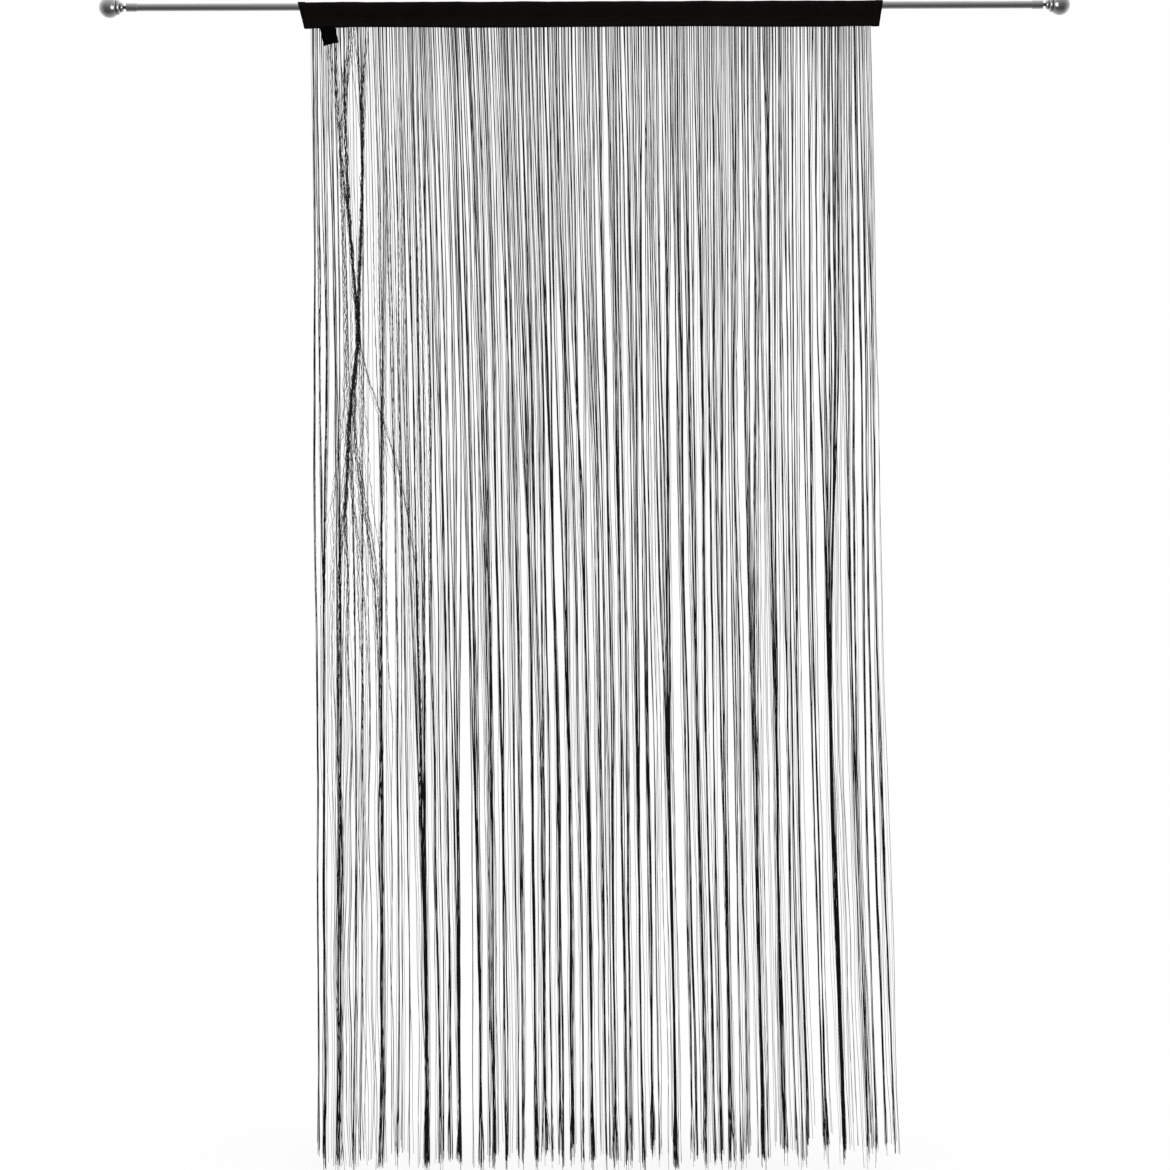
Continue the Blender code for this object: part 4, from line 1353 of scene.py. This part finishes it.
along_string = node(tree, "GeometryNodeSplineParameter").outputs["Factor"]
free = spread(tree, along_string, 0.0, 0.03, 0.0, 1.0)
amount = maths(tree, "MULTIPLY", maths(tree, "MULTIPLY", given["Kink"], 2.0), free)
offset = vector_maths(tree, "SCALE", {0: sideways, "Scale": amount})
kinked = node(tree, "GeometryNodeSetPosition", {"Geometry": curve, "Offset": offset}).outputs[0]
uneven = maths(tree, "SUBTRACT", noise["Fac"], 0.5)
change = maths(tree, "MULTIPLY", uneven, maths(tree, "MULTIPLY", given["Radius Change"], 2.0))
lot = node(tree, "ShaderNodeTexWhiteNoise", {"W": phase}, noise_dimensions="1D").outputs["Value"]
finer = maths(tree, "SUBTRACT", 1.0, maths(tree, "MULTIPLY", lot, given["Finest By"]))
own_radius = maths(tree, "MULTIPLY", given["Yarn Radius"], finer)
thick = maths(tree, "MULTIPLY", own_radius, maths(tree, "ADD", 1.0, change))
profile = node(tree, "GeometryNodeCurvePrimitiveCircle", {"Resolution": given["Yarn Sides"], "Radius": 1.0}).outputs[0]
drawn = {"Curve": kinked, "Profile Curve": profile, "Scale": thick, "Fill Caps": True}
end_tree(tree, sink, node(tree, "GeometryNodeCurveToMesh", drawn).outputs[0], given["Finish"])
hanging_strings = tree
print("tree", hanging_strings.name)

# %% [markdown]
# The strings grow out of the tape's cord edge: a thin cord wrapped by one loop of yarn for each string. The second
# tree sets the loops along the cord.

# %% Build the looped edge tree
tree, given, sink = group(
    "looped_edge",
    "GeometryNodeTree",
    [
        ("Geometry", "NodeSocketGeometry", None),
        ("Cord Radius", "NodeSocketFloat", 0.0006),
        ("Loop Radius", "NodeSocketFloat", 0.0007),
        ("Thread Radius", "NodeSocketFloat", 0.00026),
        ("Loops", "NodeSocketInt", 36),
        ("Lean", "NodeSocketFloat", 0.35),
        ("Finish", "NodeSocketMaterial", None),
    ],
    [("Geometry", "NodeSocketGeometry")],
)


def ring_curve(tree, sides, radius):
    return node(tree, "GeometryNodeCurvePrimitiveCircle", {"Resolution": sides, "Radius": radius}).outputs[0]


curve = node(tree, "GeometryNodeMeshToCurve", {"Mesh": given["Geometry"]}).outputs[0]
cord = {"Curve": curve, "Profile Curve": ring_curve(tree, 10, given["Cord Radius"]), "Fill Caps": True}
core = node(tree, "GeometryNodeCurveToMesh", cord).outputs[0]
wrapped = ring_curve(tree, 10, given["Loop Radius"])
loop_yarn = {"Curve": wrapped, "Profile Curve": ring_curve(tree, 4, given["Thread Radius"])}
loop = node(tree, "GeometryNodeCurveToMesh", loop_yarn).outputs[0]
points = node(tree, "GeometryNodeResampleCurve", {"Curve": curve, "Count": given["Loops"]}, mode="COUNT").outputs[0]
lean = node(tree, "ShaderNodeCombineXYZ", {0: 1.0, 1: 0.0, 2: given["Lean"]}).outputs[0]
turn = node(tree, "FunctionNodeAlignRotationToVector", {"Vector": lean}, axis="Z").outputs[0]
loops = node(tree, "GeometryNodeInstanceOnPoints", {"Points": points, "Instance": loop, "Rotation": turn}).outputs[0]
joined = node(tree, "GeometryNodeJoinGeometry")
tree.links.new(core, joined.inputs[0])
tree.links.new(loops, joined.inputs[0])
end_tree(tree, sink, joined.outputs[0], given["Finish"])
looped_edge = tree
print("tree", looped_edge.name)

# %% Hang the strings
SNAG_GROUPS, SNAG_KINK, KINK = 4, 0.0007, 0.0004
NUMBERS_APART = 40  # from one group's first string to the next one's
EDGE_MARGIN, EDGE_POINTS = 0.0005, 9

fringe = []
for lane, node_name in enumerate(lanes):
    body = f"fringe_{lane + 1:02d}"
    chance = np.random.default_rng(PLAN_SEED + lane)
    plan = plan_group(lane, chance)
    lines = [string_line(plan, s, chance) for s in range(len(plan.roots))]
    numbered = lines_mesh("strings", lines, np.arange(len(lines)) + NUMBERS_APART * lane)
    kink = SNAG_KINK if lane < SNAG_GROUPS else KINK
    values = {"Yarn Radius": YARN_RADIUS, "Kink": kink, "Seed": 3.0 + lane, "Finish": yarn}
    strings = grow(f"hanging_{node_name}", numbered, hanging_strings, values, body, (node_name,))
    left = strings_left + lane_width * lane + EDGE_MARGIN
    edge_x = np.linspace(left, left + lane_width - 2 * EDGE_MARGIN, EDGE_POINTS)
    edge_line = lines_mesh("edge", [np.array([(x, 0, hinge_z + cord_lift(x)) for x in edge_x])])
    values = {"Loops": len(lines), "Finish": yarn}
    edge = grow(f"cord_edge_{lane + 1:02d}", edge_line, looped_edge, values, body, (node_name,))
    fringe += [strings, edge]
print(len(fringe), "pieces,", sum(len(o.data.polygons) for o in fringe), "faces")

# %% [markdown]
# ## The care label
# A folded tab of black satin ribbon is sewn under the hem near the left end and hangs askew. It is bare. The strip
# goes down, round a soft fold and up again, and curls slightly towards the room. Its top is tucked only 1.2 mm into
# the hem, because that end turns with the label when it flaps up. The ribbon's fine cross ribs come from the woven
# group with its own thread count.

# %% Make the satin
label_satin, tree, shader, at = finish("black_satin_ribbon", 0.42, Specular_IOR_Level=0.02)
ribs = placed(tree, woven, {"Cloth": at["UV"], "Threads Per Metre": 3200.0})
sheen_colour = blend_colour(tree, ribs["Tone"], (0.0003, 0.0003, 0.0004), (0.0010, 0.0010, 0.0011))
tree.links.new(sheen_colour, shader.inputs["Base Color"])
tree.links.new(spread(tree, ribs["Tone"], 0.3, 0.7, 0.36, 0.5), shader.inputs["Roughness"])
raise_surface(tree, shader, ribs["Height"], distance=0.00004, strength=0.5)
print("satin ready")

# %% Shape the folded ribbon
LABEL_LENGTH, LABEL_LAYER, LABEL_FOLD, LABEL_TUCK = 0.0328, 0.00035, 0.0003, 0.0012
LABEL_TILT, LABEL_FRONT, LABEL_DROP = math.radians(13), -0.0020, 0.0004
LABEL_COLUMNS, LABEL_ROWS, FOLD_ROWS = 33, 26, 9

label_corner = Vector((LABEL_LEFT, LABEL_FRONT, hinge_z - LABEL_DROP))
half = (2 * LABEL_LAYER + LABEL_FOLD) / 2


def askew(across, down, y, sway=0.0):
    """The place of a point of the tilted label."""
    x = across * math.cos(LABEL_TILT) + down * math.sin(LABEL_TILT) + sway
    z = across * math.sin(LABEL_TILT) - down * math.cos(LABEL_TILT)
    return label_corner + Vector((x, y, z))


def ribbon_face(front, top, bottom):
    """One face of the ribbon as (y, down) points, from front at the top round the fold and up the other side."""
    line = [(front, s) for s in np.linspace(top, bottom, LABEL_ROWS)[:-1]]
    line += [(front * math.cos(a), bottom + abs(front) * math.sin(a)) for a in np.linspace(0, math.pi, FOLD_ROWS)]
    return line + [(-front, s) for s in np.linspace(bottom, top, LABEL_ROWS)[1:]]


print("label", round(2000 * half, 2), "mm thick")

# %% Fold the label
shape = bmesh.new()
uv_layer = shape.loops.layers.uv.new("cloth")
rings, uv_of = [], {}
for w in np.linspace(0, LABEL_WIDTH, LABEL_COLUMNS):
    top = w * math.tan(LABEL_TILT)
    bottom = LABEL_LENGTH - half + 0.0004 * math.sin(w / LABEL_WIDTH * 7 + 1)
    outside = ribbon_face(-half, top - LABEL_TUCK, bottom)
    inside = ribbon_face(half - LABEL_LAYER, top - LABEL_TUCK, bottom)
    ring = []
    for n, (y, s) in enumerate(outside + inside):
        t = max(s - top, 0) / LABEL_LENGTH
        curl = -0.0012 * t * t - 0.0007 * t * math.sin(w / LABEL_WIDTH * math.pi * 1.3 + 0.4)
        vert = shape.verts.new(askew(w, s, y + curl, 0.0003 * math.sin(s / LABEL_LENGTH * 6) * t))
        uv_of[vert] = (w, s if n < LABEL_ROWS else 2 * bottom - s)
        ring.append(vert)
    rings.append(ring)
for ring, following in zip(rings, rings[1:]):
    bridge(shape, ring, following)
size = len(rings[0])
for ring in (rings[0], rings[-1]):
    for k in range(size // 2 - 1):
        shape.faces.new((ring[k], ring[k + 1], ring[size - 2 - k], ring[size - 1 - k]))
lay_uv(shape, uv_layer, uv_of)
label = mesh_object("folded_label", shape, label_satin, "label", "care_label")

# %% [markdown]
# A short row of stitches fixes the label's top edge.

# %% Sew the label on
ROW_INSET, ROW_DOWN, ROW_POINTS = 0.0012, 0.0016, 12

row = np.linspace(ROW_INSET, LABEL_WIDTH - ROW_INSET, ROW_POINTS)
sew_line = np.array([tuple(askew(w, w * math.tan(LABEL_TILT) + ROW_DOWN, -half)) for w in row])
values = {"Stitch Pitch": 0.0026, "Stitch Length": 0.0021, "Thread Radius": 0.00016, "Seed": 19}
values["Finish"] = sewing_thread
row_mesh = lines_mesh("label sewing", [sew_line])
label_stitches = grow("label_stitches", row_mesh, stitch_row, values, "label")
print("label stitches:", len(label_stitches.data.polygons), "faces")
